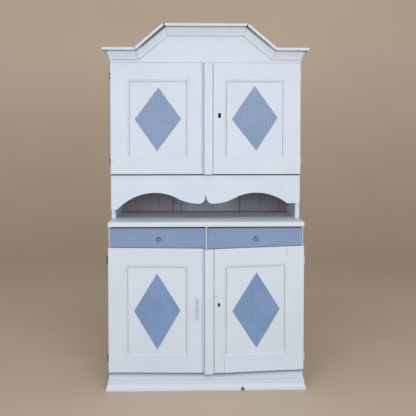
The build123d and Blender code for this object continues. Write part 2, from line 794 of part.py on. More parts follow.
def make_hook():
    """The hook turns on a headed pin in the left door, and the right door has the eye."""
    face = lower_front - door_thickness
    plane_y = face - strip_thickness - hook_strip_clearance - hook_wire_radius
    x, z = hook_pin_position, hook_height(-1)
    near = plane_y - hook_wire_radius - slide_clearance
    shaft = rod((x, near, z), (0, 1, 0), face - near + hook_shank_depth, hook_pin_radius)
    collar_start = plane_y + hook_wire_radius + slide_clearance
    collar = rod((x, collar_start, z), (0, 1, 0), face - collar_start, hook_pin_head_radius)
    head = rod((x, near - hook_pin_head_height, z), (0, 1, 0), hook_pin_head_height, hook_pin_head_radius)
    keep("hook_pin", shaft + collar + head)

    loop_radius = hook_pin_radius + turning_clearance + hook_wire_radius
    loop = ring((x, plane_y, z), (0, 1, 0), loop_radius, hook_wire_radius)
    top = (x, plane_y, z - loop_radius)
    bend = (x, plane_y, z - hook_length + hook_bend_radius)
    turned = (x - hook_bend_radius, plane_y, z - hook_length)
    corner = hook_bend_radius * (1 - math.sin(math.pi / 4))
    bend_middle = (x - corner, plane_y, z - hook_length + corner)
    tip = (x - hook_bend_radius - hook_tip_length, plane_y, z - hook_length)
    path = Curve() + [Line(top, bend), ThreePointArc(bend, bend_middle, turned), Line(turned, tip)]
    wire = sweep(Plane(top, z_dir=(0, 0, -1)) * Circle(hook_wire_radius), path=path)
    keep("hook", loop + wire)

    eye_z = hook_height(1)
    eye_y = face - catch_eye_radius - catch_eye_wire_radius
    eye = ring((catch_eye_position, eye_y, eye_z), (0, 0, 1), catch_eye_radius, catch_eye_wire_radius)
    shank_start = face - catch_eye_wire_radius
    eye += rod((catch_eye_position, shank_start, eye_z), (0, 1, 0),
               catch_eye_wire_radius + hook_shank_depth, catch_eye_wire_radius)
    keep("hook_catch_eye", eye)


make_case()
make_base()
make_shelves()
make_valance()
make_cornice()
make_hinges()
for tier in ("upper", "lower"):
    for side in (-1, 1):
        make_door(tier, side)
make_strips()
make_lock("upper", upper_front, upper_door_bottom, upper_keyhole_backset, upper_keyhole_height)
make_lock("lower", lower_front, lower_door_bottom, lower_keyhole_backset, lower_keyhole_height)
for side in (-1, 1):
    make_drawer(side)
make_hook()

os.makedirs("parts", exist_ok=True)
for name, shape in nodes.items():
    export_step(shape, f"parts/{name}.step")
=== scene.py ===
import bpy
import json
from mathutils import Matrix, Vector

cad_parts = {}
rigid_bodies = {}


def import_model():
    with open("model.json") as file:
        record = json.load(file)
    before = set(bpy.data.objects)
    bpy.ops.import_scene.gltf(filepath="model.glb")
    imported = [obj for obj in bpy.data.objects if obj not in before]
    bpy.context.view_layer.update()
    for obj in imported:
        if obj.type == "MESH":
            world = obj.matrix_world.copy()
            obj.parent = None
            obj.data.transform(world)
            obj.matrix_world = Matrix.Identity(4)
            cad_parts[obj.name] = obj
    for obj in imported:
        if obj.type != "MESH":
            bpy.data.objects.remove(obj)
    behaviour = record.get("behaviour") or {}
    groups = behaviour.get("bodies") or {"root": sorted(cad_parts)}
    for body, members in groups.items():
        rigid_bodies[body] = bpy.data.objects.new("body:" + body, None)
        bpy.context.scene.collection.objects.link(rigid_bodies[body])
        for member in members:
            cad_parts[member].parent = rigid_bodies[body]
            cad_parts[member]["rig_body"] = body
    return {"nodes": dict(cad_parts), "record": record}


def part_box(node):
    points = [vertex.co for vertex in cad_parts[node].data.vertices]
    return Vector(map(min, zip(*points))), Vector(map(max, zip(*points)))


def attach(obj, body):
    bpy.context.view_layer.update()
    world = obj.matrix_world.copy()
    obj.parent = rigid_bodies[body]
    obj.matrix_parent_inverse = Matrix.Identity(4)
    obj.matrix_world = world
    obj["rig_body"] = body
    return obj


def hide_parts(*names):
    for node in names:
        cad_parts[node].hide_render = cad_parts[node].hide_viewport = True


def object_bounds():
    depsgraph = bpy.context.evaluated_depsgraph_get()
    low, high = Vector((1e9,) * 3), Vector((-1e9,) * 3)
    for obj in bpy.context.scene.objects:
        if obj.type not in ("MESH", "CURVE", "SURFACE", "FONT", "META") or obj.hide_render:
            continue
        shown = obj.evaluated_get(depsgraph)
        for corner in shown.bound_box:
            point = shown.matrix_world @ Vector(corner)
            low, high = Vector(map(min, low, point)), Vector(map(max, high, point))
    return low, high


bl_info = {
    "name": "Painted two-part cupboard",
    "version": (1, 0, 0),
    "blender": (4, 5, 0),
    "location": "View3D > Sidebar > Cupboard",
    "description": "Dresses an old painted cupboard in paint, wood and iron, and sets its stage",
    "category": "Object",
}

import json
import math

import bmesh
import bpy
from mathutils import Vector

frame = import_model()
CAD_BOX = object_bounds()

# How a solid's triangles are joined up again
MERGE_DISTANCE = 1e-5
FLAT_ANGLE = math.radians(0.5)
ROUNDED_ANGLE = math.radians(35)
SMOOTH_ANGLE = math.radians(28)

# Pieces by place and finish
DOORS = ("upper_left", "upper_right", "lower_left", "lower_right")
TIERS = ("upper", "lower")
DRAWERS = ("left", "right")
FOOT_BOARDS = ("base_rail", "base_board")
PAINTED_SIDES = ("lower_side_left", "lower_side_right", "upper_side_left", "upper_side_right")
BARE_BOARDS = ("lower_back_boards", "drawer_runners", "lower_shelf", "upper_top",
               "upper_shelves", "shelf_cleats")
HINGE_IRON = ("hinge_case_leaves", "hinge_pins")
HOOK_IRON = ("hook", "hook_pin", "hook_catch_eye")

# How far a panel's edge is hidden in its grooves, the width of the moulding round it, and the depth
# at which a board's face ends
PANEL_TONGUE = 0.007
STICKING_WIDTH = 0.010
FACE_DEPTH = (0.0008, 0.0012)

# Depth of fine and coarse relief, and roughness of sound paint
FINE_RELIEF = 0.0003
COARSE_RELIEF = 0.0004
PAINT_ROUGHNESS = 0.42

# Corners of each painted lozenge: top, right, bottom and left, as x and z in metres
LOZENGES = {
    "upper_left": ((-0.248, 1.5525), (-0.130, 1.3895), (-0.256, 1.2220), (-0.372, 1.3875)),
    "upper_right": ((0.256, 1.5625), (0.378, 1.3965), (0.266, 1.2235), (0.138, 1.3885)),
    "lower_left": ((-0.251, 0.599), (-0.133, 0.410), (-0.2505, 0.2105), (-0.3675, 0.408)),
    "lower_right": ((0.257, 0.603), (0.3745, 0.4155), (0.256, 0.215), (0.133, 0.405)),
}
# How strongly the comb shows on them
COMB_STRENGTH = {"upper": 0.24, "lower": 0.16}

# How far the dark sheet of painted shade in the cornice's open mitres lies behind its face, and below its
# top
MITRE_DEPTH = 0.004
MITRE_DROP = 0.001

# Small damage: the broken base moulding along x, the middle and half length of the rubbed cornice
# along x, a scuff on the shaped board and a nick at a lozenge's edge as x and z, and the middle of the
# counter's scratches as x and y
CHIP_PLACE = 0.186
RUBBED_CORNICE = (0.40, 0.07)
SCUFF = (0.400, 1.019)
NICK = (0.314, 0.315)
SCRATCHES = (-0.114, 0.118)

# Nails of the back boards and screws of the hinges, as parts of their board or leaf
NAIL_HEIGHTS = (0.03, 0.5, 0.97)
NAIL_PLACES = (0.2, 0.8)
LEAF_SCREW_HEIGHTS = (0.15, 0.5, 0.85)
LEAF_SCREW_PLACE = 0.3
# Distance of the locks' screws, and of the nail on the left door, from the edge
LOCK_SCREW_INSET = 0.008
DOOR_NAIL_INSET = 0.010

# The stage: the camera's place, its angles in degrees and its lens, the lamps' places, sizes and
# powers, the world's strength, and the steps in the backdrop's bend
CAMERA_PLACE = (-0.0799, -3.4367, 1.2848)
CAMERA_TILT = 2.070
CAMERA_TURN = 1.565
CAMERA_LENS = 55.132
CAMERA_SENSOR = 36.0
CAMERA_SHIFT = -0.1106
LAMPS = {
    "key": ((1.3, -4.5, 1.65), 2.2, 76.0),
    "fill": ((-2.0, -4.4, 1.6), 2.2, 63.0),
    "top": ((0.0, -1.2, 4.7), 2.4, 30.0),
}
WORLD_STRENGTH = 0.35
BEND_STEPS = 16

# Corners round a nail's or screw's head
HEAD_CORNERS = 12


def tint(code):
    """A colour written as six hex digits, in linear light."""
    parts = [int(code[at:at + 2], 16) / 255 for at in (0, 2, 4)]
    return tuple(part / 12.92 if part <= 0.04045 else ((part + 0.055) / 1.055) ** 2.4 for part in parts)


def colour(name, description, code):
    """A colour that a user may change."""
    return bpy.props.FloatVectorProperty(name=name, description=description, subtype="COLOR", size=3,
                                         min=0.0, max=1.0, default=tint(code))


def length(name, description, default):
    """A length that a user may change."""
    return bpy.props.FloatProperty(name=name, description=description, default=default, min=0.0,
                                   precision=5, unit="LENGTH")


class CupboardColours(bpy.types.PropertyGroup):
    """Colours of the paint, wood, iron and stage."""

    pale_paint: colour("Pale paint", "Blue-white paint of the case and doors", "d1ddec")
    faded_paint: colour("Faded paint", "Greyer patches in the pale paint", "c8d5e5")
    upper_blue: colour("Upper lozenges", "Combed blue of the upper lozenges", "768eb8")
    lower_blue: colour("Lower lozenges", "Combed blue of the lower lozenges", "6b8bb9")
    drawer_blue: colour("Drawer blue", "Combed blue of the drawer fronts", "7289b6")
    niche_grey: colour("Niche grey", "Worn paint on the boards behind the niche", "878b9a")
    niche_brown: colour("Niche brown", "Smoky patches on the boards behind the niche", "77757a")
    counter_grey: colour("Counter grey", "Worn paint of the counter", "dce2eb")
    pale_wood: colour("Pale wood", "Light bands of bare aged pine", "b39a78")
    dark_wood: colour("Dark wood", "Dark bands of bare aged pine", "7d6549")
    grime: colour("Grime", "Dirt on worn places", "6d675f")
    # Real dirt in the joints, and painted shade under the cornice's fillet, along the cove's foot and in
    # the doors' grooves and mouldings
    joint_dirt: colour("Joint dirt", "Dirt in the joints of the doors", "6e6264")
    # Painted shadow: the soft shade that the meeting strips cast on the left doors
    shade_blue: colour("Blue shade", "Rubbed-in dirt beside the meeting strips", "8595b4")
    cream: colour("Cream", "Old ground colour where the top coat is rubbed", "e2d9c6")
    # Painted light at the back of the counter, in the shade of the upper case; also the counter's scratches
    chalk_and_light: colour("Chalk", "Unworn paint at the back of the counter, and its scratches", "ecf2fb")
    # Painted shade for keyholes, gaps, undersides, open joints and the lines under the doors; also real
    # soot, stains and dark joints
    soot_and_shade: colour("Soot", "The dark inside of keyholes and open joints", "0c0b0b")
    iron: colour("Iron", "Dark iron of the hinges, locks and pulls", "3b3a3b")
    rust: colour("Rust", "Rust on the iron", "5f4433")
    floor: colour("Floor", "Floor and foot of the backdrop", "c8b6a3")
    # Painted light: the backdrop is made paler upwards to even out its brightness
    backdrop: colour("Backdrop", "Upper part of the backdrop", "fbe7d3")


class CupboardSizes(bpy.types.PropertyGroup):
    """Sizes of rounded edges, comb marks, fasteners and stage."""

    board_round: length("Board edge", "Rounding of worn board edges", 0.0015)
    counter_round: length("Counter edge", "Rounding of the counter's edges", 0.003)
    joint_round: length("Joint edge", "Rounding of the door members' edges at their joints", 0.0005)
    lozenge_comb: length("Lozenge comb", "Distance between combed lines on the lozenges", 0.0095)
    drawer_comb: length("Drawer comb", "Distance between combed lines on the drawers", 0.0082)
    nail_radius: length("Nail head", "Radius of the nail heads", 0.0035)
    nail_height: length("Nail height", "How far a nail head stands out", 0.0008)
    screw_radius: length("Screw head", "Radius of the screw heads", 0.003)
    screw_height: length("Screw height", "How far a screw head stands out", 0.00015)
    floor_reach: length("Floor", "Length of the floor in front of and beside the cupboard", 14.0)
    backdrop_gap: length("Backdrop gap", "Distance from the cupboard to the backdrop", 6.0)
    backdrop_height: length("Backdrop height", "Height of the backdrop", 8.0)
    backdrop_bend: length("Backdrop bend", "Radius where the floor turns up", 3.0)


def colours():
    """The scene's colour settings."""
    return bpy.context.scene.cupboard_colours


def sizes():
    """The scene's size settings."""
    return bpy.context.scene.cupboard_sizes


class Shading:
    """Adds nodes to one shader tree and joins them up."""

    def __init__(self, tree):
        self.tree = tree

    def add(self, kind, **choices):
        node = self.tree.nodes.new("ShaderNode" + kind)
        for name, value in choices.items():
            setattr(node, name, value)
        return node

    def feed(self, socket, value):
        if isinstance(value, bpy.types.NodeSocket):
            self.tree.links.new(value, socket)
        elif socket.type == "RGBA" and len(value) == 3:
            socket.default_value = (*value, 1.0)
        else:
            socket.default_value = value

    def fill(self, node, *values):
        """Feeds a node's first inputs in order, and gives its outputs."""
        for socket, value in zip(node.inputs, values):
            self.feed(socket, value)
        return node.outputs

    def math(self, operation, first, second=0.0, clamp=False):
        return self.fill(self.add("Math", operation=operation, use_clamp=clamp), first, second)[0]

    def times(self, first, *others):
        for other in others:
            first = self.math("MULTIPLY", first, other)
        return first

    def plus(self, first, second):
        return self.math("ADD", first, second)

    def minus(self, first, second):
        return self.math("SUBTRACT", first, second)

    def most(self, first, second):
        return self.math("MAXIMUM", first, second)

    def vector(self, operation, first, second=(0.0, 0.0, 0.0)):
        found = self.fill(self.add("VectorMath", operation=operation), first, second)
        return found["Value" if operation in ("DOT_PRODUCT", "LENGTH") else "Vector"]

    def scaled(self, vector, factor):
        node = self.add("VectorMath", operation="SCALE")
        self.feed(node.inputs["Scale"], factor)
        return self.fill(node, vector)["Vector"]

    def split(self, vector):
        return self.fill(self.add("SeparateXYZ"), vector)

    def blend(self, factor, first, second, way="MIX"):
        node = self.add("Mix", data_type="RGBA", blend_type=way)
        for at, value in ((0, factor), (6, first), (7, second)):
            self.feed(node.inputs[at], value)
        return node.outputs[2]

    def over(self, colour, name, factor):
        """One of the cupboard's colours over another colour."""
        return self.blend(factor, colour, getattr(colours(), name))

    def dimmed(self, colour, value):
        """A colour made darker or lighter by a value near one."""
        grey = self.fill(self.add("CombineColor"), value, value, value)[0]
        return self.blend(1.0, colour, grey, "MULTIPLY")

    def span(self, value, low, high, start=0.0, end=1.0, way="SMOOTHSTEP"):
        """Goes softly from start to end while a value goes from low to high."""
        return self.fill(self.add("MapRange", interpolation_type=way), value, low, high, start, end)[0]

    def ramp(self, value, low, high, start, end):
        return self.span(value, low, high, start, end, "LINEAR")

    def fall(self, value, low, high, start=1.0):
        return self.span(value, low, high, start, 0.0)

    def band(self, value, middle, half, strength):
        """A soft line where a value is near its middle."""
        away = self.math("ABSOLUTE", self.minus(value, middle))
        return self.fall(away, half * 0.3, half, strength)

    def spot(self, place, middle, width, height, strength):
        """A soft patch round a point on a front."""
        away = self.vector("SUBTRACT", place, (middle[0], 0.0, middle[1]))
        away = self.vector("MULTIPLY", away, (1 / width, 0.0, 1 / height))
        return self.fall(self.vector("LENGTH", away), 0.4, 1.0, strength)

    def noise(self, place, scale, detail=3.0, roughness=0.5):
        node = self.add("TexNoise")
        given = {"Vector": place, "Scale": scale, "Detail": detail, "Roughness": roughness}
        for name, value in given.items():
            self.feed(node.inputs[name], value)
        return node.outputs[0]

    def uneven(self, place, scale, least):
        """Strength that comes and goes along a line of dirt."""
        return self.span(self.noise(place, scale), 0.3, 0.65, least, 1.0)

    def attribute(self, name, output="Vector"):
        return self.add("Attribute", attribute_name=name).outputs[output]

    def own_place(self):
        """Where a point lies on the piece itself."""
        return self.add("TexCoord").outputs["Object"]

    def upward(self):
        """How much a face looks up."""
        return self.split(self.add("NewGeometry").outputs["Normal"])[2]

    def group(self, name, **values):
        node = self.add("Group", node_tree=bpy.data.node_groups[name])
        for key, value in values.items():
            self.feed(node.inputs[key.capitalize()], value)
        return node.outputs


class Finish(Shading):
    """The shading of one material. What it shows is laid on coat by coat."""

    def __init__(self, name, first=None):
        self.material = bpy.data.materials.new(name)
        self.material.use_nodes = True
        super().__init__(self.material.node_tree)
        self.shader = self.tree.nodes["Principled BSDF"].inputs
        self.shown = first

    def lay(self, name, *factors):
        """Lays one of the cupboard's colours over what shows so far, by the product of the factors."""
        self.shown = self.over(self.shown, name, self.times(*factors))

    def close(self, roughness, height, depth):
        """Joins colour, roughness and relief to the shader, and gives the finished material."""
        bump = self.add("Bump")
        bump.inputs["Strength"].default_value = 1.0
        bump.inputs["Distance"].default_value = depth
        self.feed(bump.inputs["Height"], height)
        joined = {"Base Color": self.shown, "Roughness": roughness, "Normal": bump.outputs["Normal"]}
        for name, value in joined.items():
            self.feed(self.shader[name], value)
        return self.material


class BoardFinish(Finish):
    """The shading of boards: where a point lies on its own board, aged pine, and old paint over it."""

    def __init__(self, name, light="pale_paint", faded="faded_paint"):
        super().__init__(name)
        board = self.group("board frame")
        self.place = board["Place"]
        self.x, self.y, self.z = self.split(self.place)
        self.edge = board["Edge"]
        self.front = board["Front"]
        self.back = board["Back"]
        self.rise = board["Rise"]
        self.drop = board["Drop"]
        self.along = {"place": board["Place"], "grain": board["Grain"], "seed": board["Seed"]}
        grain = self.group("wood grain", **self.along)
        self.pores = grain["Pores"]
        wood = self.over(colours().pale_wood, "dark_wood", grain["Bands"])
        dusty = self.noise(self.place, 5.0, 4.0, 0.6)
        wood = self.over(wood, "grime", self.span(dusty, 0.4, 0.75, 0.0, 0.45))
        self.wood = self.dimmed(wood, self.span(self.pores, 0.3, 0.6, 0.8, 1.0))
        self.shown = self.wood
        if light:
            self.paint(getattr(colours(), light), faded)

    def paint(self, light, faded):
        """Old brushed paint, with its strokes, greyer patches and specks."""
        brush = self.group("brush strokes", **self.along)
        self.strokes = brush["Strokes"]
        shown = self.over(light, faded, self.span(brush["Patches"], 0.35, 0.75, 0.0, 0.6))
        self.shown = self.dimmed(shown, self.span(self.strokes, 0.25, 0.75, 0.985, 1.01))
        self.lay("grime", self.span(self.noise(self.place, 95.0, 2.0), 0.76, 0.8, 0.0, 0.3))

    def strip(self, factor):
        """Lets the wood show."""
        self.shown = self.blend(factor, self.shown, self.wood)

    def combed(self, place, axis, pitch):
        """Combed lines that follow one another along an axis."""
        across = self.split(place)[axis]
        return self.group("combed lines", place=place, across=across, pitch=pitch)["Lines"]

    def worn(self, width, amount):
        """Where the paint is worn through near the edges."""
        return self.group("edge wear", place=self.place, edge=self.edge, width=width, amount=amount)["Mask"]

    def sheen(self, bare, plain):
        """Roughness of paint, greater where wood shows."""
        return self.plus(self.plus(self.times(self.strokes, 0.2), self.times(bare, 0.25)), plain)


def new_group(name, inputs, outputs):
    """An empty shader group with its sockets: its shading, its inputs and its output node."""
    tree = bpy.data.node_groups.new(name, "ShaderNodeTree")
    for way, labels in (("INPUT", inputs), ("OUTPUT", outputs)):
        for label in labels:
            kind = "NodeSocketVector" if label in ("Place", "Grain") else "NodeSocketFloat"
            tree.interface.new_socket(label, in_out=way, socket_type=kind)
    given = tree.nodes.new("NodeGroupInput").outputs
    return Shading(tree), given, tree.nodes.new("NodeGroupOutput")


def board_frame_group():
    """A point's place on its board, the board's grain, and how far the point is from the board's edges."""
    labels = ("Place", "Grain", "Seed", "Edge", "Front", "Back", "Rise", "Drop")
    shade, _, result = new_group("board frame", (), labels)
    place = shade.attribute("board_place")
    from_low = shade.vector("SUBTRACT", place, shade.attribute("board_low"))
    from_high = shade.vector("SUBTRACT", shade.attribute("board_high"), place)
    near = shade.split(shade.vector("MINIMUM", from_low, from_high))
    lesser = shade.math("MINIMUM", near[0], near[1])
    edge = shade.most(lesser, shade.math("MINIMUM", shade.most(near[0], near[1]), near[2]))
    low = shade.split(from_low)
    high = shade.split(from_high)
    shade.fill(result, place, shade.attribute("board_grain"), shade.attribute("board_seed", "Fac"), edge,
               low[1], high[1], low[2], high[2])


def along_grain(shade, given, pull, apart):
    """Places drawn out along the grain and moved apart board by board, and the move alone."""
    squeeze = shade.vector("SUBTRACT", (1.0, 1.0, 1.0), shade.scaled(given["Grain"], pull))
    move = shade.scaled(apart, given["Seed"])
    return shade.vector("ADD", shade.vector("MULTIPLY", given["Place"], squeeze), move), move


def brush_group():
    """Brush strokes along the grain, and slow patches in the paint."""
    shade, given, result = new_group("brush strokes", ("Place", "Grain", "Seed"), ("Strokes", "Patches"))
    drawn, move = along_grain(shade, given, 0.96, (3.1, 5.7, 4.3))
    strokes = shade.noise(drawn, 240.0, 3.0, 0.6)
    shade.fill(result, strokes, shade.noise(shade.vector("ADD", given["Place"], move), 4.2, 4.0, 0.6))


def grain_group():
    """Growth bands and pores of a pine board."""
    shade, given, result = new_group("wood grain", ("Place", "Grain", "Seed"), ("Bands", "Pores"))
    drawn = along_grain(shade, given, 0.95, (7.3, 2.9, 6.1))[0]
    slow = shade.noise(drawn, 26.0, 2.0)
    rings = shade.math("FRACT", shade.times(slow, 7.0))
    bands = shade.plus(shade.times(rings, 0.45), shade.times(slow, 0.6))
    shade.fill(result, bands, shade.noise(drawn, 420.0, 3.0, 0.7))


def wear_group():
    """Where paint has worn through along the edges of a board."""
    shade, given, result = new_group("edge wear", ("Place", "Edge", "Width", "Amount"), ("Mask",))
    near = shade.math("SUBTRACT", 1.0, shade.math("DIVIDE", given["Edge"], given["Width"]), clamp=True)
    coarse = shade.noise(given["Place"], 22.0, 2.0)
    fine = shade.noise(given["Place"], 160.0, 4.0, 0.65)
    broken = shade.times(coarse, shade.plus(fine, 0.35))
    shade.fill(result, shade.span(shade.times(broken, given["Amount"], near), 0.34, 0.44))


def comb_group():
    """Wavering lines drawn with a comb through wet paint."""
    shade, given, result = new_group("combed lines", ("Place", "Across", "Pitch"), ("Lines",))
    sway = shade.times(shade.noise(given["Place"], 9.0, 2.0), 0.9)
    step = shade.plus(shade.math("DIVIDE", given["Across"], given["Pitch"]), sway)
    saw = shade.minus(shade.math("FRACT", step), 0.5)
    ridge = shade.times(shade.math("ABSOLUTE", saw), 2.0)
    patchy = shade.span(shade.noise(given["Place"], 70.0, 3.0, 0.6), 0.25, 0.6, 0.35, 1.0)
    shade.fill(result, shade.times(shade.span(ridge, 0.3, 0.85), patchy))


def pale_paint_material(name, wear=1.0, bare=None, marks=None):
    """Pale paint, worn to the wood along its edges. bare masks unpainted wood, and marks adds stains."""
    shade = BoardFinish(name)
    if marks:
        marks(shade)
    worn = shade.worn(0.007, wear)
    if bare:
        worn = shade.most(worn, bare(shade))
    shade.strip(worn)
    relief = shade.plus(shade.times(shade.strokes, 0.35), shade.times(shade.pores, 0.1))
    relief = shade.minus(relief, shade.times(worn, 0.6))
    return shade.close(shade.sheen(worn, PAINT_ROUGHNESS), relief, FINE_RELIEF)


def underside(shade):
    """Faces that look down, where painted shade is laid."""
    return shade.fall(shade.upward(), -0.7, -0.4)


def door_back(shade):
    """The unpainted back of a door."""
    return shade.fall(shade.back, *FACE_DEPTH)


def behind_front(shade):
    """All of a board but its painted front edge."""
    return shade.span(shade.front, 0.0015, 0.003)


def niche_heights():
    """The foot and head of the niche between the counter and the upper case."""
    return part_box("counter_top")[1].z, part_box("upper_bottom")[0].z


def case_inside(shade):
    """The unpainted inside of the case's sides, apart from the niche."""
    inner = abs(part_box("lower_side_left")[1].x)
    low, high = niche_heights()
    inside = shade.fall(shade.math("ABSOLUTE", shade.x), inner + 0.0003, inner + 0.0008)
    beyond = shade.plus(shade.fall(shade.z, low - 0.002, low), shade.span(shade.z, high, high + 0.002))
    return shade.times(inside, beyond, shade.span(shade.front, 0.002, 0.003))


def corners(points):
    """Lowest and highest corners of the box round some points."""
    low = Vector([min(point[axis] for point in points) for axis in range(3)])
    high = Vector([max(point[axis] for point in points) for axis in range(3)])
    return low, high


def levelled(point, slope):
    """A point with its door's sag taken out."""
    return Vector((point.x, point.y, point.z - slope * point.x))


def door_slope(node):
    """How much a sagging door rises from left to right, measured along the top of its panel."""
    for door in DOORS:
        if node.startswith(door + "_door"):
            points = [vertex.co for vertex in frame["nodes"][door + "_door_panel"].data.vertices]
            left = min(point.x for point in points)
            right = max(point.x for point in points)
            tops = [max(p.z for p in points if abs(p.x - side) < 0.0005) for side in (left, right)]
            return (tops[1] - tops[0]) / (right - left)
    return 0.0


def level_box(node):
    """Lowest and highest corners of a door's piece, with the door's sag taken out."""
    slope = door_slope(node)
    return corners([levelled(vertex.co, slope) for vertex in frame["nodes"][node].data.vertices])


def from_panel(shade, door):
    """Distance outside the visible edge of a door's panel."""
    low, high = level_box(door + "_door_panel")
    half = (high - low) / 2
    away = shade.split(shade.vector("ABSOLUTE", shade.vector("SUBTRACT", shade.place, (low + high) / 2)))
    beside = shade.minus(away[0], half.x - PANEL_TONGUE)
    return shade.most(beside, shade.minus(away[2], half.z - PANEL_TONGUE))


def opening_middle(name):
    """The middle of an opening that the record states."""
    for opening in frame["record"]["physics"]["openings"]:
        if opening["name"] == name:
            low, high = opening["box_m"]
            return (Vector(low) + Vector(high)) / 2
    raise ValueError("the record states no opening " + name)


def keyhole_shade(shade, tier):
    """Painted shade: the dark inside of a keyhole, seen from in front."""
    away = shade.vector("SUBTRACT", shade.own_place(), opening_middle(tier + "_keyhole"))
    across = shade.vector("MULTIPLY", away, (1.0, 0.0, 0.7))
    return shade.fall(shade.vector("LENGTH", across), 0.014, 0.018)


def door_marks(door):
    """Marks on a door's frame: dirt along its moulding with painted shade under the head rail, painted
    shadow beside the meeting strip, painted shade in the keyhole, and dark joints.
    """
    tier = door[:5]
    strip_low, strip_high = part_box(tier + "_meeting_strip")
    low, high = level_box(door + "_door_panel")
    panel_top = high.z - PANEL_TONGUE

    def right_marks(shade, uneven):
        shade.lay("joint_dirt", shade.band(shade.x, strip_high.x + 0.0004, 0.0032, 0.95), uneven)
        # Painted shade inside the keyhole
        shade.lay("soot_and_shade", keyhole_shade(shade, tier), shade.span(shade.front, 0.0008, 0.002))
        if tier == "lower":
            head = shade.times(shade.band(shade.x, high.x + 0.003, 0.0022, 0.5),
                               shade.span(shade.z, high.z + 0.03, high.z + 0.05))
            foot = shade.times(shade.band(shade.x, low.x - 0.003, 0.0022, 0.45),
                               shade.fall(shade.z, low.z - 0.01, low.z))
            shade.lay("joint_dirt", shade.most(head, foot))

    def marks(shade):
        uneven = shade.uneven(shade.place, 14.0, 0.4)
        quirk = shade.band(from_panel(shade, door), STICKING_WIDTH, 0.0016, 0.14)
        # The moulding's dirt line is made stronger under the head rail, as painted shade
        head = shade.span(shade.z, panel_top, panel_top + 0.004, 1.0, 2.3)
        shade.lay("joint_dirt", quirk, head, uneven)
        if door.endswith("left"):
            # Painted shadow that the meeting strip casts on the left door
            shade.lay("shade_blue", shade.band(shade.x, strip_low.x - 0.007, 0.012, 0.38))
        else:
            right_marks(shade, uneven)

    return marks


def lozenge_mask(shade, place, points):
    """Inside the four painted edges of a lozenge."""
    points = [Vector(point) for point in points]
    middle = (points[0] + points[2]) / 2
    inside = None
    for start, end in zip(points, points[1:] + points[:1]):
        run = (end - start).normalized()
        inward = Vector((-run.y, run.x))
        if (middle - start).dot(inward) < 0:
            inward.negate()
        reach = shade.vector("DOT_PRODUCT", place, (inward.x, 0.0, inward.y))
        reach = shade.minus(reach, start.dot(inward))
        inside = shade.math("MINIMUM", inside, reach) if inside else reach
    waver = shade.times(shade.minus(shade.noise(place, 38.0), 0.5), 0.004)
    return shade.span(shade.plus(inside, waver), -0.0016, -0.0004)


def panel_material(door):
    """A door panel: pale paint with a combed blue lozenge on its front, and a dark line in its grooves that
    is partly dirt and partly painted shade.
    """
    tier = door[:5]
    shade = BoardFinish(door + " panel paint")
    place = shade.own_place()
    lines = shade.combed(place, 0, sizes().lozenge_comb)
    blue = getattr(colours(), tier + "_blue")
    combed = shade.over(blue, "pale_paint", shade.times(lines, COMB_STRENGTH[tier]))
    combed = shade.dimmed(combed, shade.span(shade.noise(place, 7.0), 0.3, 0.7, 0.93, 1.05))
    mask = shade.times(lozenge_mask(shade, place, LOZENGES[door]), shade.fall(shade.front, *FACE_DEPTH))
    shade.shown = shade.blend(mask, shade.shown, combed)
    shade.lay("joint_dirt", shade.spot(place, NICK, 0.005, 0.004, 0.7))
    # The groove line is dirt and painted shade: weakest along the bottom, where light falls, and weaker
    # along the top than the sides
    foot = shade.span(shade.rise, PANEL_TONGUE + 0.002, PANEL_TONGUE + 0.006, 0.1, 1.0)
    head = shade.span(shade.drop, PANEL_TONGUE + 0.002, PANEL_TONGUE + 0.006, 0.55, 1.0)
    groove_shade = shade.fall(shade.minus(shade.edge, PANEL_TONGUE), 0.0010, 0.0032)
    shade.lay("joint_dirt", groove_shade, shade.uneven(place, 16.0, 0.55), foot, head)
    bare = door_back(shade)
    shade.strip(bare)
    relief = shade.plus(shade.times(shade.strokes, 0.35), shade.times(lines, mask, 0.6))
    return shade.close(shade.sheen(bare, PAINT_ROUGHNESS), relief, FINE_RELIEF)


def drawer_front_material(side):
    """A drawer front: combed blue, darkened at its lips as painted shade, bare wood behind and along its
    top edge.
    """
    shade = BoardFinish(side + " drawer paint", "drawer_blue", "upper_blue")
    lines = shade.combed(shade.place, 2, sizes().drawer_comb)
    shade.lay("pale_paint", lines, 0.2)
    shade.lay("grime", shade.fall(shade.edge, 0.001, 0.006, 0.35))
    # Painted shade along the lips, under the counter and above the doors
    door = "lower_" + side + "_door_stiles"
    door_top = shade.plus(shade.times(shade.x, door_slope(door)), level_box(door)[1].z)
    lip_top = shade.fall(shade.minus(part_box(side + "_drawer_front")[1].z, shade.z), 0.001, 0.006, 0.65)
    lip_foot = shade.fall(shade.minus(shade.z, door_top), 0.002, 0.007, 0.5)
    shade.lay("soot_and_shade", shade.most(lip_top, lip_foot))
    bare = shade.most(shade.fall(shade.back, 0.0105, 0.0115), shade.worn(0.005, 0.6))
    shade.strip(bare)
    # The top edge shows bare wood, darkened further as painted shade
    top = shade.span(shade.upward(), 0.4, 0.7, 0.0, 0.7)
    shade.strip(top)
    shade.lay("soot_and_shade", top)
    relief = shade.plus(shade.times(shade.strokes, 0.25), shade.times(lines, 0.7))
    return shade.close(shade.sheen(bare, 0.4), relief, FINE_RELIEF)


def bare_wood_material(name):
    """Bare aged pine, darker and dusty near its edges."""
    shade = BoardFinish(name, None)
    shade.lay("grime", shade.fall(shade.edge, 0.0, 0.012, 0.35))
    return shade.close(shade.span(shade.pores, 0.2, 0.8, 0.62, 0.86), shade.pores, COARSE_RELIEF)


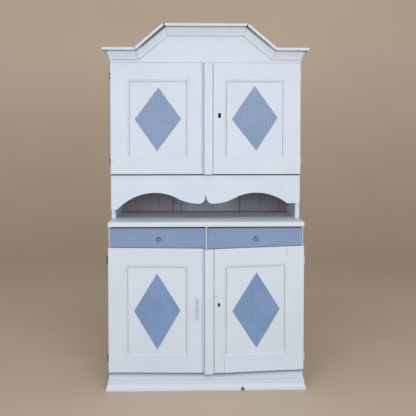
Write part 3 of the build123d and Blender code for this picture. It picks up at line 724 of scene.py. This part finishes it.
def niche_board_material(name):
    """Back boards: worn grey paint where the niche shows them, bare wood elsewhere, with painted shade
    along their foot.
    """
    shade = BoardFinish(name, "niche_grey", "niche_brown")
    low, high = niche_heights()
    shows = shade.times(shade.span(shade.z, low - 0.02, low - 0.01),
                        shade.fall(shade.z, high + 0.01, high + 0.02),
                        shade.fall(shade.front, 0.001, 0.0015))
    rubbed = shade.span(shade.pores, 0.35, 0.7, 0.97, 0.75)
    shade.shown = shade.blend(shade.times(shows, rubbed), shade.wood, shade.shown)
    shade.lay("soot_and_shade", shade.span(shade.x, 0.05, 0.3, 0.0, 0.15))
    shade.lay("faded_paint", shows, shade.band(shade.x, 0.02, 0.22, 0.3))
    shade.lay("soot_and_shade", shade.fall(shade.edge, 0.0006, 0.005, 0.6))
    stains = shade.noise(shade.vector("MULTIPLY", shade.place, (1.0, 1.0, 0.3)), 34.0, 4.0, 0.6)
    shade.lay("soot_and_shade", shade.span(stains, 0.55, 0.72, 0.0, 0.25))
    # Painted shade where the back boards meet the counter
    shade.lay("soot_and_shade", shade.fall(shade.z, low + 0.002, low + 0.008, 0.75))
    return shade.close(shade.span(shade.pores, 0.2, 0.8, 0.6, 0.85), shade.pores, COARSE_RELIEF)


def counter_material(name):
    """The counter: rubbed on top, lighter at the back as painted light, paler along its front edge, with
    old scratches and painted shade underneath.
    """
    shade = BoardFinish(name, "counter_grey")
    # Painted light: the back, in the shade of the upper case, is made lighter
    shade.lay("chalk_and_light", shade.span(shade.front, 0.12, 0.17, 0.0, 0.8))
    shade.lay("pale_paint", shade.fall(shade.front, 0.004, 0.05))
    patches = shade.noise(shade.vector("MULTIPLY", shade.place, (1.0, 2.6, 1.0)), 8.0, 4.0, 0.65)
    shade.lay("grime", shade.span(patches, 0.5, 0.7, 0.0, 0.2), shade.span(shade.front, 0.03, 0.08))
    drawn = shade.vector("MULTIPLY", shade.place, (1.0, 4.0, 1.0))
    shade.lay("chalk_and_light", shade.span(shade.noise(drawn, 30.0, 2.0), 0.46, 0.54),
              shade.band(shade.x, SCRATCHES[0], 0.08, 1.0), shade.band(shade.y, SCRATCHES[1], 0.026, 1.0))
    worn = shade.worn(0.008, 0.75)
    shade.strip(worn)
    # Painted shade on the underside
    shade.lay("soot_and_shade", underside(shade))
    relief = shade.minus(shade.times(shade.strokes, 0.3), shade.times(worn, 0.6))
    return shade.close(shade.plus(shade.times(shade.strokes, 0.2), 0.4), relief, COARSE_RELIEF)


def iron_material(name, tier=None):
    """Dark wrought iron with rust in patches, with painted shade behind the keyhole of a tier's lock."""
    shade = Finish(name, colours().iron)
    place = shade.own_place()
    patches = shade.noise(place, 90.0, 4.0, 0.65)
    pits = shade.noise(place, 650.0, 3.0, 0.6)
    shade.lay("rust", shade.span(patches, 0.48, 0.66))
    # Painted shade behind the keyhole
    if tier:
        shade.lay("soot_and_shade", keyhole_shade(shade, tier))
    shade.feed(shade.shader["Metallic"], shade.span(patches, 0.45, 0.62, 0.85, 0.15))
    return shade.close(shade.span(pits, 0.2, 0.8, 0.42, 0.78), pits, FINE_RELIEF)


def painted_iron(name, cover, scale, bare, metal, rough, depth=FINE_RELIEF, rusty=True, sided=False):
    """Iron that was painted over and is rubbed bare in patches. Sided iron is barer on the left."""
    shade = Finish(name, colours().iron)
    place = shade.own_place()
    patches = shade.noise(place, scale, 4.0, 0.6)
    lean = shade.span(shade.split(place)[0], -0.05, 0.05, 0.12, -0.22) if sided else 0.0
    bared = shade.span(shade.plus(patches, lean), *bare)
    if rusty:
        shade.lay("rust", shade.span(patches, 0.5, 0.65))
    shade.shown = shade.blend(bared, getattr(colours(), cover), shade.shown)
    shade.feed(shade.shader["Metallic"], shade.times(bared, metal))
    return shade.close(shade.span(patches, 0.3, 0.7, *rough), patches, depth)


def hinge_material(name):
    """Hinges: dark and rusty on the left, still painted over on the right."""
    return painted_iron(name, "faded_paint", 70.0, (0.5, 0.56), 0.6, (0.45, 0.7), COARSE_RELIEF, sided=True)


def pull_material(name):
    """Drawer pulls painted over with the drawers and rubbed back to rusty iron."""
    return painted_iron(name, "drawer_blue", 110.0, (0.42, 0.56, 0.35), 0.4, (0.45, 0.65))


def wire_material(name):
    """The hook's wire and a nail, painted over with the doors, with iron showing in places."""
    return painted_iron(name, "pale_paint", 120.0, (0.5, 0.66, 0.15), 0.8, (0.38, 0.6), rusty=False)


def material(name, maker, *choices, **options):
    """The material of that name, made the first time it is asked for."""
    found = bpy.data.materials.get(name)
    return found if found else maker(name, *choices, **options)


def islands(mesh):
    """The separate solids of a mesh, each as a list of its vertices, always in the same order."""
    left = dict.fromkeys(mesh.verts)
    found = []
    while left:
        group = [left.popitem()[0]]
        for vertex in group:
            for edge in vertex.link_edges:
                other = edge.other_vert(vertex)
                if other in left:
                    del left[other]
                    group.append(other)
        found.append(group)
    return sorted(found, key=lambda group: tuple(min(v.co[axis] for v in group) for axis in (0, 2, 1)))


def separate_solids(mesh):
    """The vertices of each solid in a mesh of loose triangles. A solid ends where its surface closes."""
    solids = [{}]
    unmatched = set()
    for face in mesh.faces:
        if not unmatched and solids[-1]:
            solids.append({})
        solids[-1].update(dict.fromkeys(face.verts))
        places = [tuple(round(value / MERGE_DISTANCE) for value in vertex.co) for vertex in face.verts]
        for start, end in zip(places, places[1:] + places[:1]):
            if (end, start) in unmatched:
                unmatched.discard((end, start))
            else:
                unmatched.add((start, end))
    return solids


def joined_copy(node, rounding):
    """A copy of a node's mesh with each solid's triangles joined up and its sharp edges rounded."""
    mesh = bmesh.new()
    mesh.from_mesh(frame["nodes"][node].data)
    for solid in separate_solids(mesh):
        bmesh.ops.remove_doubles(mesh, verts=list(solid), dist=MERGE_DISTANCE)
    bmesh.ops.dissolve_limit(mesh, angle_limit=FLAT_ANGLE, verts=mesh.verts, edges=mesh.edges)
    bmesh.ops.recalc_face_normals(mesh, faces=mesh.faces)
    if rounding:
        sharp = [edge for edge in mesh.edges
                 if edge.is_manifold and edge.calc_face_angle(0.0) > ROUNDED_ANGLE]
        bmesh.ops.bevel(mesh, geom=sharp, offset=rounding, offset_type="OFFSET", segments=2, profile=0.5,
                        affect="EDGES", clamp_overlap=True)
    for face in mesh.faces:
        face.smooth = True
    for edge in mesh.edges:
        edge.smooth = edge.calc_face_angle(0.0) < SMOOTH_ANGLE
    return mesh


def solid_points(node):
    """The corner points of each separate solid in a node."""
    mesh = joined_copy(node, 0.0)
    found = [[vertex.co.copy() for vertex in group] for group in islands(mesh)]
    mesh.free()
    return found


def write_board_frame(mesh, data, slope):
    """Gives each vertex its level place, its board's corners and grain, and a seed."""
    mesh.verts.index_update()
    count = len(mesh.verts)
    names = ("board_place", "board_low", "board_high", "board_grain")
    values = {name: [0.0] * (3 * count) for name in names}
    seeds = [0.0] * count
    for order, group in enumerate(islands(mesh)):
        places = {vertex: levelled(vertex.co, slope) for vertex in group}
        low, high = corners(places.values())
        span = high - low
        longest = max(range(3), key=lambda axis: span[axis])
        grain = Vector([1.0 if axis == longest else 0.0 for axis in range(3)])
        seed = (order * 0.37 + low.x * 1.7 + low.z * 2.3) % 1.0
        for vertex, place in places.items():
            at = vertex.index
            seeds[at] = seed
            for name, vector in zip(names, (place, low, high, grain)):
                values[name][3 * at:3 * at + 3] = vector
    mesh.to_mesh(data)
    for name, flat in values.items():
        data.attributes.new(name, "FLOAT_VECTOR", "POINT").data.foreach_set("vector", flat)
    data.attributes.new("board_seed", "FLOAT", "POINT").data.foreach_set("value", seeds)


def add_object(name, data):
    """A new object in the scene."""
    found = bpy.data.objects.new(name, data)
    bpy.context.scene.collection.objects.link(found)
    return found


def settle(piece, modifier):
    """Turns a piece with a modifier into a plain mesh."""
    grown = piece.evaluated_get(bpy.context.evaluated_depsgraph_get())
    data = bpy.data.meshes.new_from_object(grown)
    piece.modifiers.remove(modifier)
    old = piece.data
    piece.data = data
    bpy.data.meshes.remove(old)


def dress(node, finish, rounding=0.0):
    """A finished piece that stands for one CAD node and rides with it. Broad faces stay flat in shading."""
    data = bpy.data.meshes.new("dressed_" + node)
    mesh = joined_copy(node, rounding)
    write_board_frame(mesh, data, door_slope(node))
    mesh.free()
    data.materials.append(finish)
    piece = add_object("dressed_" + node, data)
    modifier = piece.modifiers.new("flat faces", "WEIGHTED_NORMAL")
    modifier.mode = "FACE_AREA"
    modifier.weight = 100
    modifier.keep_sharp = True
    settle(piece, modifier)
    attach(piece, frame["nodes"][node]["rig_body"])
    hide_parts(node)
    return piece


def head_tree(name, slotted):
    """A geometry tree that puts a small head on each point, facing the point's own way."""
    tree = bpy.data.node_groups.new(name, "GeometryNodeTree")
    for label, kind in (("Geometry", "Geometry"), ("Head radius", "Float"), ("Head height", "Float"),
                        ("Seed", "Int"), ("Finish", "Material")):
        tree.interface.new_socket(label, in_out="INPUT", socket_type="NodeSocket" + kind)
    tree.interface.new_socket("Geometry", in_out="OUTPUT", socket_type="NodeSocketGeometry")

    def add(kind, feeds, **choices):
        node = tree.nodes.new(kind)
        for key, value in choices.items():
            setattr(node, key, value)
        for key, value in feeds.items():
            if isinstance(value, bpy.types.NodeSocket):
                tree.links.new(value, node.inputs[key])
            else:
                node.inputs[key].default_value = value
        return node.outputs

    def product(value, factor):
        return add("ShaderNodeMath", {0: value, 1: factor}, operation="MULTIPLY")[0]

    given = add("NodeGroupInput", {})
    radius = given["Head radius"]
    height = given["Head height"]
    cone = {"Vertices": HEAD_CORNERS, "Radius Top": product(radius, 0.7), "Radius Bottom": radius,
            "Depth": height}
    shape = add("GeometryNodeMeshCone", cone, fill_type="NGON")["Mesh"]
    if slotted:
        size = add("ShaderNodeCombineXYZ", {0: product(radius, 3.0), 1: product(radius, 0.3), 2: height})[0]
        cut = add("GeometryNodeMeshCube", {"Size": size})["Mesh"]
        up = add("ShaderNodeCombineXYZ", {2: height})[0]
        cut = add("GeometryNodeTransform", {"Geometry": cut, "Translation": up})[0]
        both = {"Mesh 1": shape, "Mesh 2": cut}
        shape = add("GeometryNodeMeshBoolean", both, operation="DIFFERENCE")["Mesh"]
    way = add("GeometryNodeInputNamedAttribute", {"Name": "way"}, data_type="FLOAT_VECTOR")["Attribute"]
    face = add("FunctionNodeAlignRotationToVector", {"Vector": way}, axis="Z")[0]
    chance = add("FunctionNodeRandomValue", {3: math.tau, "Seed": given["Seed"]}, data_type="FLOAT")[1]
    turn = add("FunctionNodeAxisAngleToRotation", {"Axis": (0.0, 0.0, 1.0), "Angle": chance})[0]
    spin = add("FunctionNodeRotateRotation", {0: face, 1: turn}, rotation_space="LOCAL")[0]
    heads = add("GeometryNodeInstanceOnPoints", {"Points": given["Geometry"], "Instance": shape,
                                                 "Rotation": spin})[0]
    solid = add("GeometryNodeRealizeInstances", {0: heads})[0]
    finished = add("GeometryNodeSetMaterial", {"Geometry": solid, "Material": given["Finish"]})[0]
    add("NodeGroupOutput", {"Geometry": finished})
    return tree


def add_heads(name, body, spots, tree, **inputs):
    """Fastener heads on a list of (place, way), turned into one plain mesh that rides with a body."""
    points = bpy.data.meshes.new(name + "_spots")
    points.from_pydata([place for place, way in spots], [], [])
    flat = [value for place, way in spots for value in way]
    points.attributes.new("way", "FLOAT_VECTOR", "POINT").data.foreach_set("vector", flat)
    piece = add_object(name, points)
    modifier = piece.modifiers.new("heads", "NODES")
    modifier.node_group = tree
    for item in tree.interface.items_tree:
        key = item.name.lower().replace(" ", "_")
        if item.in_out == "INPUT" and key in inputs:
            modifier[item.identifier] = inputs[key]
    settle(piece, modifier)
    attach(piece, body)
    return piece


def greyed_marks(shade):
    """Paint made a little greyer all over."""
    shade.lay("grime", 0.2)


def gap_shade_marks(shade):
    """Painted shade in the dark gap between the shaped board and the upper doors."""
    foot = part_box("upper_left_door_stiles")[0].z
    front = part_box("upper_side_left")[0].y
    shade.lay("soot_and_shade", shade.fall(shade.z, foot, foot + 0.002, 0.85),
              shade.span(shade.z, foot - 0.012, foot - 0.010),
              shade.fall(shade.y, front + 0.001, front + 0.003))


def door_foot_shadow_marks(shade):
    """Painted shadow: the dark line under the lower doors, fading downwards."""
    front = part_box("lower_side_left")[0].y
    near = shade.fall(shade.y, front + 0.001, front + 0.003, 0.72)
    for door in ("lower_left", "lower_right"):
        stiles = door + "_door_stiles"
        low, high = level_box(stiles)
        foot = shade.plus(shade.times(shade.x, door_slope(stiles)), low.z)
        under = shade.minus(shade.z, foot)
        shade.lay("soot_and_shade", shade.span(under, -0.028, -0.008), shade.fall(under, 0.004, 0.02),
                  shade.span(shade.x, low.x - 0.001, low.x),
                  shade.fall(shade.x, high.x, high.x + 0.001), near)


def side_marks(shade):
    """Painted shade under the doors, where the lines cross the sides' front edges."""
    door_foot_shadow_marks(shade)
    gap_shade_marks(shade)


def valance_marks(shade):
    """Painted shade along the top of the shaped board, close under the upper doors, and a scuff on its
    right.
    """
    broken = shade.span(shade.noise(shade.place, 140.0), 0.4, 0.6)
    shade.lay("pale_wood", shade.spot(shade.place, SCUFF, 0.016, 0.005, 0.5), broken)
    shade.lay("soot_and_shade", shade.fall(shade.drop, 0.0015, 0.006, 0.5))


def base_marks(shade):
    """A line along the base moulding, and the dark broken place at its foot."""
    across = shade.fall(shade.math("ABSOLUTE", shade.minus(shade.x, CHIP_PLACE)), 0.0095, 0.0105)
    inner = shade.most(shade.fall(shade.z, 0.011, 0.012), shade.fall(shade.upward(), -0.5, -0.2))
    shade.lay("joint_dirt", shade.band(shade.z, 0.037, 0.003, 0.15))
    shade.lay("soot_and_shade", across, shade.span(shade.front, 0.002, 0.004), inner)


def cove_feet():
    """Where the cove's level lengths stand, from the left: from x, to x, and height of the lower edge."""
    feet = []
    for points in solid_points("cornice_cove"):
        lowest = min(point.z for point in points)
        across = [point.x for point in points if point.z < lowest + 0.0005]
        if max(across) - min(across) > 0.05:
            feet.append((min(across), max(across), lowest))
    return sorted(feet)


def fillet_ends():
    """The fillet's corner points on both sides of each peak's mitre, and at the foot of each slope."""
    def rise(points):
        low, high = corners(points)
        return high.z - low.z

    lengths = solid_points("cornice_fillet")
    level = max(lengths, key=lambda points: corners(points)[0].z)
    peaks = []
    feet = []
    for slope in sorted(sorted(lengths, key=rise)[-2:], key=lambda points: corners(points)[0].x):
        middle = sum(point.z for point in slope) / len(slope)
        upper = [point for point in slope if point.z > middle]
        peaks.append(upper + [point for point in level if point.x * upper[0].x > 0])
        feet.append([point for point in slope if point.z <= middle])
    return peaks, feet


def on_slope(shade):
    """The sloping lengths of the cornice, the right one weaker towards its foot; this sets how strong the
    painted shade is there.
    """
    middle, right = cove_feet()[1:]
    away = shade.math("ABSOLUTE", shade.x)
    return shade.times(shade.span(away, middle[1], middle[1] + 0.02),
                       shade.fall(away, right[0] - 0.02, right[0]),
                       shade.ramp(shade.x, middle[1], right[0], 1.0, 0.35))


def fillet_marks(shade):
    """Painted shade under the cornice's fillet, dirt in its left shoulder's joint, and rubbed paint on the
    right.
    """
    shoulder = fillet_ends()[1][0]
    joint = sum(point.x for point in shoulder) / len(shoulder)
    shade.lay("joint_dirt", shade.band(shade.x, joint, 0.003, 0.6))
    patches = shade.span(shade.noise(shade.place, 30.0), 0.42, 0.6)
    shade.lay("cream", shade.band(shade.x, *RUBBED_CORNICE, 0.6), patches)
    # Painted shade on the fillet's underside, strongest on the slopes
    shade.lay("joint_dirt", underside(shade), shade.ramp(on_slope(shade), 0.0, 1.0, 0.1, 0.85))


def cove_marks(shade):
    """Painted shade in the open joint along the top of the cove, darkest on the slopes, and a dark line
    along its foot that is partly joint and partly painted shade.
    """
    # Painted shade in the open joint at the top
    top = shade.fall(shade.front, 0.0004, 0.0016)
    facing = shade.fall(shade.math("ABSOLUTE", shade.x), 0.49, 0.5)
    sloping = shade.ramp(on_slope(shade), 0.0, 1.0, 0.0, 0.95)
    shade.lay("soot_and_shade", top, facing, sloping)
    # A dark line at the foot: joint and painted shade
    foot = shade.span(shade.front, 0.0171, 0.0180, 0.0, 0.75)
    shade.lay("joint_dirt", foot, facing)


def pediment_marks(shade):
    """The thin dark line along the lower edge of the cove: a joint, with painted shade under the cove's
    foot.
    """
    left, middle, right = cove_feet()
    rising = shade.ramp(shade.x, left[1], middle[0], left[2], middle[2])
    falling = shade.ramp(shade.x, middle[1], right[0], middle[2], right[2])
    below = shade.minus(shade.z, shade.math("MINIMUM", rising, falling))
    shade.lay("joint_dirt", shade.band(below, 0.0006, 0.0022, 0.6), shade.uneven(shade.place, 12.0, 0.55))


def pack_mitres():
    """A dark sheet of painted shade in the open mitres at the cornice's peaks, set back from its face."""
    packed = bmesh.new()
    for peak in fillet_ends()[0]:
        low, high = corners(peak)
        front = low.y + MITRE_DEPTH
        top = high.z - MITRE_DROP
        points = [packed.verts.new((p.x, max(p.y, front), min(p.z, top))) for p in peak]
        hull = bmesh.ops.convex_hull(packed, input=points)
        loose = [item for item in hull["geom_interior"] + hull["geom_unused"]
                 if isinstance(item, bmesh.types.BMVert)]
        bmesh.ops.delete(packed, geom=list(dict.fromkeys(loose)), context="VERTS")
    bmesh.ops.recalc_face_normals(packed, faces=packed.faces)
    data = bpy.data.meshes.new("mitre_dirt")
    packed.to_mesh(data)
    packed.free()
    # Painted shade: a flat dark sheet in the open mitres
    dirt = Finish("mitre dirt")
    dirt.feed(dirt.shader["Base Color"], colours().soot_and_shade)
    dirt.shader["Roughness"].default_value = 0.9
    data.materials.append(dirt.material)
    piece = add_object("mitre_dirt", data)
    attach(piece, frame["nodes"]["cornice_fillet"]["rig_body"])


class CUPBOARD_OT_groups(bpy.types.Operator):
    """Make the shader groups that the finishes share"""

    bl_idname = "cupboard.groups"
    bl_label = "Shared paint and wood effects"

    def execute(self, context):
        board_frame_group()
        brush_group()
        wear_group()
        comb_group()
        grain_group()
        return {"FINISHED"}


class CUPBOARD_OT_case(bpy.types.Operator):
    """Paint the boards of the case, and leave its inner boards bare"""

    bl_idname = "cupboard.case"
    bl_label = "Case boards"

    def execute(self, context):
        full = sizes().board_round
        slight = full / 2
        paint = pale_paint_material
        dress("drawer_rail", material("pale paint", paint, 0.6), full)
        dress("valance", paint("valance paint", 0.5, marks=valance_marks), full)
        dress("pediment_board", paint("pediment paint", 0.3, marks=pediment_marks), slight)
        dress("upper_bottom", paint("upper floor paint", 0.3, behind_front, gap_shade_marks), slight)
        for node in FOOT_BOARDS:
            dress(node, material("foot paint", paint, 0.3, marks=door_foot_shadow_marks), sizes().joint_round)
        dress("drawer_partition", paint("partition paint", 0.5, marks=greyed_marks), full)
        dress("lower_bottom", paint("floor board paint", 0.4, behind_front, door_foot_shadow_marks), full)
        for node in PAINTED_SIDES:
            dress(node, material("side paint", paint, 0.85, case_inside, side_marks), slight)
        for node in BARE_BOARDS:
            dress(node, material("bare pine", bare_wood_material), slight)
        dress("upper_back_boards", material("niche boards", niche_board_material), slight)
        return {"FINISHED"}


class CUPBOARD_OT_mouldings(bpy.types.Operator):
    """Paint the cornice and the base moulding"""

    bl_idname = "cupboard.mouldings"
    bl_label = "Cornice and base moulding"

    def execute(self, context):
        rounding = sizes().board_round / 2
        dress("cornice_cove", pale_paint_material("cove paint", 0.5, marks=cove_marks), rounding)
        dress("cornice_fillet", pale_paint_material("fillet paint", 0.9, marks=fillet_marks), rounding)
        pack_mitres()
        dress("base_moulding", pale_paint_material("base paint", 0.8, marks=base_marks), rounding)
        return {"FINISHED"}


class CUPBOARD_OT_counter(bpy.types.Operator):
    """Finish the worn counter"""

    bl_idname = "cupboard.counter"
    bl_label = "Counter"

    def execute(self, context):
        dress("counter_top", material("worn counter", counter_material), sizes().counter_round)
        return {"FINISHED"}


class CUPBOARD_OT_doors(bpy.types.Operator):
    """Paint the doors' frames, panels and meeting strips"""

    bl_idname = "cupboard.doors"
    bl_label = "Doors"

    def execute(self, context):
        for door in DOORS:
            frame_paint = pale_paint_material(door + " door paint", 0.5, door_back, door_marks(door))
            dress(door + "_door_stiles", frame_paint, sizes().joint_round)
            dress(door + "_door_rails", frame_paint, sizes().joint_round)
            dress(door + "_door_panel", panel_material(door))
        strip_paint = material("pale paint", pale_paint_material, 0.6)
        for tier in TIERS:
            dress(tier + "_meeting_strip", strip_paint, sizes().board_round)
        return {"FINISHED"}


class CUPBOARD_OT_drawers(bpy.types.Operator):
    """Paint the drawer fronts and leave the boxes bare"""

    bl_idname = "cupboard.drawers"
    bl_label = "Drawers"

    def execute(self, context):
        pine = material("bare pine", bare_wood_material)
        for side in DRAWERS:
            dress(side + "_drawer_front", drawer_front_material(side), sizes().board_round)
            dress(side + "_drawer_box", pine, sizes().joint_round)
            dress(side + "_drawer_bottom", pine)
        return {"FINISHED"}


class CUPBOARD_OT_ironwork(bpy.types.Operator):
    """Finish the hinges, locks, pulls and hook"""

    bl_idname = "cupboard.ironwork"
    bl_label = "Ironwork"

    def execute(self, context):
        iron = material("dark iron", iron_material)
        wire = material("painted wire", wire_material)
        hinge = material("hinge iron", hinge_material)
        pull = material("pull iron", pull_material)
        for node in HINGE_IRON:
            dress(node, hinge)
        for door in DOORS:
            dress(door + "_door_hinge_leaves", hinge)
        for tier in TIERS:
            dress(tier + "_lock_case", iron_material(tier + " lock iron", tier))
            dress(tier + "_lock_bolt", iron)
        for side in DRAWERS:
            dress(side + "_pull_eye", pull)
            dress(side + "_pull_ring", pull)
        for node in HOOK_IRON:
            dress(node, wire)
        return {"FINISHED"}


class CUPBOARD_OT_fasteners(bpy.types.Operator):
    """Drive the nails of the back boards, one nail of a door, and the screws of the hinges and locks"""

    bl_idname = "cupboard.fasteners"
    bl_label = "Nails and screws"

    def execute(self, context):
        iron = material("dark iron", iron_material)
        nails = head_tree("nail heads", False)
        screws = head_tree("screw heads", True)
        nail = {"head_radius": sizes().nail_radius, "head_height": sizes().nail_height}
        screw = {"head_radius": sizes().screw_radius, "head_height": sizes().screw_height, "seed": 9,
                 "finish": iron}
        backward = Vector((0.0, 1.0, 0.0))
        spots = self.board_spots(backward)
        add_heads("back_board_nails", "case", spots, nails, seed=4, finish=iron, **nail)
        fronts = {tier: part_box(tier + "_side_left")[0].y for tier in TIERS}
        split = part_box("counter_top")[1].z
        spots = []
        for points in solid_points("hinge_case_leaves"):
            low, high = corners(points)
            spots += self.leaf_spots(low, high, fronts["upper" if low.z > split else "lower"], -backward)
        add_heads("case_hinge_screws", "case", spots, screws, **screw)
        for door in DOORS:
            spots = []
            for points in solid_points(door + "_door_hinge_leaves"):
                spots += self.leaf_spots(*corners(points), fronts[door[:5]], backward)
            if door.endswith("right"):
                spots += self.lock_spots(door[:5], backward)
            add_heads(door + "_door_screws", door + "_door", spots, screws, **screw)
        leaf_low, leaf_high = corners(solid_points("upper_left_door_hinge_leaves")[0])
        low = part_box("upper_left_door_stiles")[0]
        spot = Vector((low.x + DOOR_NAIL_INSET, low.y, (leaf_low.z + leaf_high.z) / 2))
        add_heads("upper_left_door_nail", "upper_left_door", [(spot, -backward)], nails, seed=2,
                  finish=material("painted wire", wire_material), **nail)
        return {"FINISHED"}

    def board_spots(self, way):
        """Nails in rows across the back boards."""
        spots = []
        for node in ("lower_back_boards", "upper_back_boards"):
            for points in solid_points(node):
                low, high = corners(points)
                size = high - low
                spots += [(Vector((low.x + across * size.x, high.y, low.z + height * size.z)), way)
                          for height in NAIL_HEIGHTS for across in NAIL_PLACES]
        return spots

    def leaf_spots(self, low, high, front, way):
        """Three screws down the plate of a hinge leaf, whose knuckle is on the outer side."""
        inner = high.x if high.x < 0 else low.x
        outer = low.x if high.x < 0 else high.x
        x = inner + LEAF_SCREW_PLACE * (outer - inner)
        return [(Vector((x, front, low.z + part * (high.z - low.z))), way) for part in LEAF_SCREW_HEIGHTS]

    def lock_spots(self, tier, way):
        """A screw in each corner of a lock."""
        low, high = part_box(tier + "_lock_case")
        return [(Vector((x, high.y, z)), way)
                for x in (low.x + LOCK_SCREW_INSET, high.x - LOCK_SCREW_INSET)
                for z in (low.z + LOCK_SCREW_INSET, high.z - LOCK_SCREW_INSET)]


class CUPBOARD_OT_stage(bpy.types.Operator):
    """Set the floor, backdrop, lights and camera"""

    bl_idname = "cupboard.stage"
    bl_label = "Stage"

    def execute(self, context):
        self.backdrop()
        self.lights()
        self.camera()
        context.scene.view_settings.view_transform = "Standard"
        return {"FINISHED"}

    def backdrop(self):
        """One sheet that is the floor in front and turns up behind the cupboard, made paler upwards as
        painted light.
        """
        reach = sizes().floor_reach
        bend = sizes().backdrop_bend
        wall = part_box("lower_back_boards")[1].y + sizes().backdrop_gap
        profile = [(-reach, 0.0)]
        for step in range(BEND_STEPS + 1):
            angle = math.radians(90 * step / BEND_STEPS)
            profile.append((wall - bend + bend * math.sin(angle), bend - bend * math.cos(angle)))
        profile.append((wall, sizes().backdrop_height))
        vertices = [(x, y, z) for y, z in profile for x in (-reach, reach)]
        faces = [(2 * row, 2 * row + 1, 2 * row + 3, 2 * row + 2) for row in range(len(profile) - 1)]
        data = bpy.data.meshes.new("backdrop")
        data.from_pydata(vertices, [], faces)
        for face in data.polygons:
            face.use_smooth = True
        cloth = Finish("backdrop", colours().floor)
        place = cloth.own_place()
        # Painted light: the colour turns paler upwards to even out the backdrop's brightness
        rise = cloth.ramp(cloth.split(place)[2], -0.3, 2.6, 0.0, 1.0)
        tone = cloth.span(cloth.noise(place, 1.2, 2.0), 0.3, 0.7, 0.98, 1.02)
        cloth.lay("backdrop", rise)
        cloth.feed(cloth.shader["Base Color"], cloth.dimmed(cloth.shown, tone))
        cloth.shader["Roughness"].default_value = 0.9
        cloth.shader["Specular IOR Level"].default_value = 0.1
        data.materials.append(cloth.material)
        sheet = add_object("backdrop", data)

    def lights(self):
        """Two large soft lights in front, a weak one above, and a plain grey world."""
        world = bpy.data.worlds.new("studio")
        world.use_nodes = True
        sky = world.node_tree.nodes["Background"].inputs
        sky["Color"].default_value = (1.0, 1.0, 1.0, 1.0)
        sky["Strength"].default_value = WORLD_STRENGTH
        bpy.context.scene.world = world
        for name, (place, size, power) in LAMPS.items():
            data = bpy.data.lights.new(name, "AREA")
            data.size = size
            data.energy = power
            lamp = add_object(name, data)
            lamp.location = place
            aim = (CAD_BOX[0] + CAD_BOX[1]) / 2 - Vector(place)
            lamp.rotation_euler = aim.to_track_quat("-Z", "Y").to_euler()

    def camera(self):
        """The photograph's view: a little left of the middle, at chest height."""
        data = bpy.data.cameras.new("camera")
        data.lens = CAMERA_LENS
        data.sensor_width = CAMERA_SENSOR
        data.shift_y = CAMERA_SHIFT
        camera = add_object("camera", data)
        camera.location = CAMERA_PLACE
        camera.rotation_euler = (math.radians(90 - CAMERA_TILT), 0.0, math.radians(-CAMERA_TURN))
        bpy.context.scene.camera = camera


class CUPBOARD_PT_panel(bpy.types.Panel):
    """The cupboard's settings and pieces"""

    bl_idname = "CUPBOARD_PT_panel"
    bl_label = "Cupboard"
    bl_space_type = "VIEW_3D"
    bl_region_type = "UI"
    bl_category = "Cupboard"

    def draw(self, context):
        for step in STEPS:
            self.layout.operator(step.bl_idname)
        for settings in (context.scene.cupboard_colours, context.scene.cupboard_sizes):
            for name in settings.bl_rna.properties.keys():
                if name not in ("rna_type", "name"):
                    self.layout.prop(settings, name)


STEPS = (CUPBOARD_OT_groups, CUPBOARD_OT_case, CUPBOARD_OT_mouldings, CUPBOARD_OT_counter,
         CUPBOARD_OT_doors, CUPBOARD_OT_drawers, CUPBOARD_OT_ironwork, CUPBOARD_OT_fasteners,
         CUPBOARD_OT_stage)
CLASSES = (CupboardColours, CupboardSizes, *STEPS, CUPBOARD_PT_panel)


def register():
    """Adds the settings, steps and panel to Blender."""
    for item in CLASSES:
        bpy.utils.register_class(item)
    bpy.types.Scene.cupboard_colours = bpy.props.PointerProperty(type=CupboardColours)
    bpy.types.Scene.cupboard_sizes = bpy.props.PointerProperty(type=CupboardSizes)


def unregister():
    """Takes them out again."""
    del bpy.types.Scene.cupboard_colours
    del bpy.types.Scene.cupboard_sizes
    for item in reversed(CLASSES):
        bpy.utils.unregister_class(item)


def main():
    """Builds the dressed cupboard."""
    register()
    bpy.ops.cupboard.groups()
    bpy.ops.cupboard.case()
    bpy.ops.cupboard.mouldings()
    bpy.ops.cupboard.counter()
    bpy.ops.cupboard.doors()
    bpy.ops.cupboard.drawers()
    bpy.ops.cupboard.ironwork()
    bpy.ops.cupboard.fasteners()
    bpy.ops.cupboard.stage()


if __name__ == "__main__":
    main()
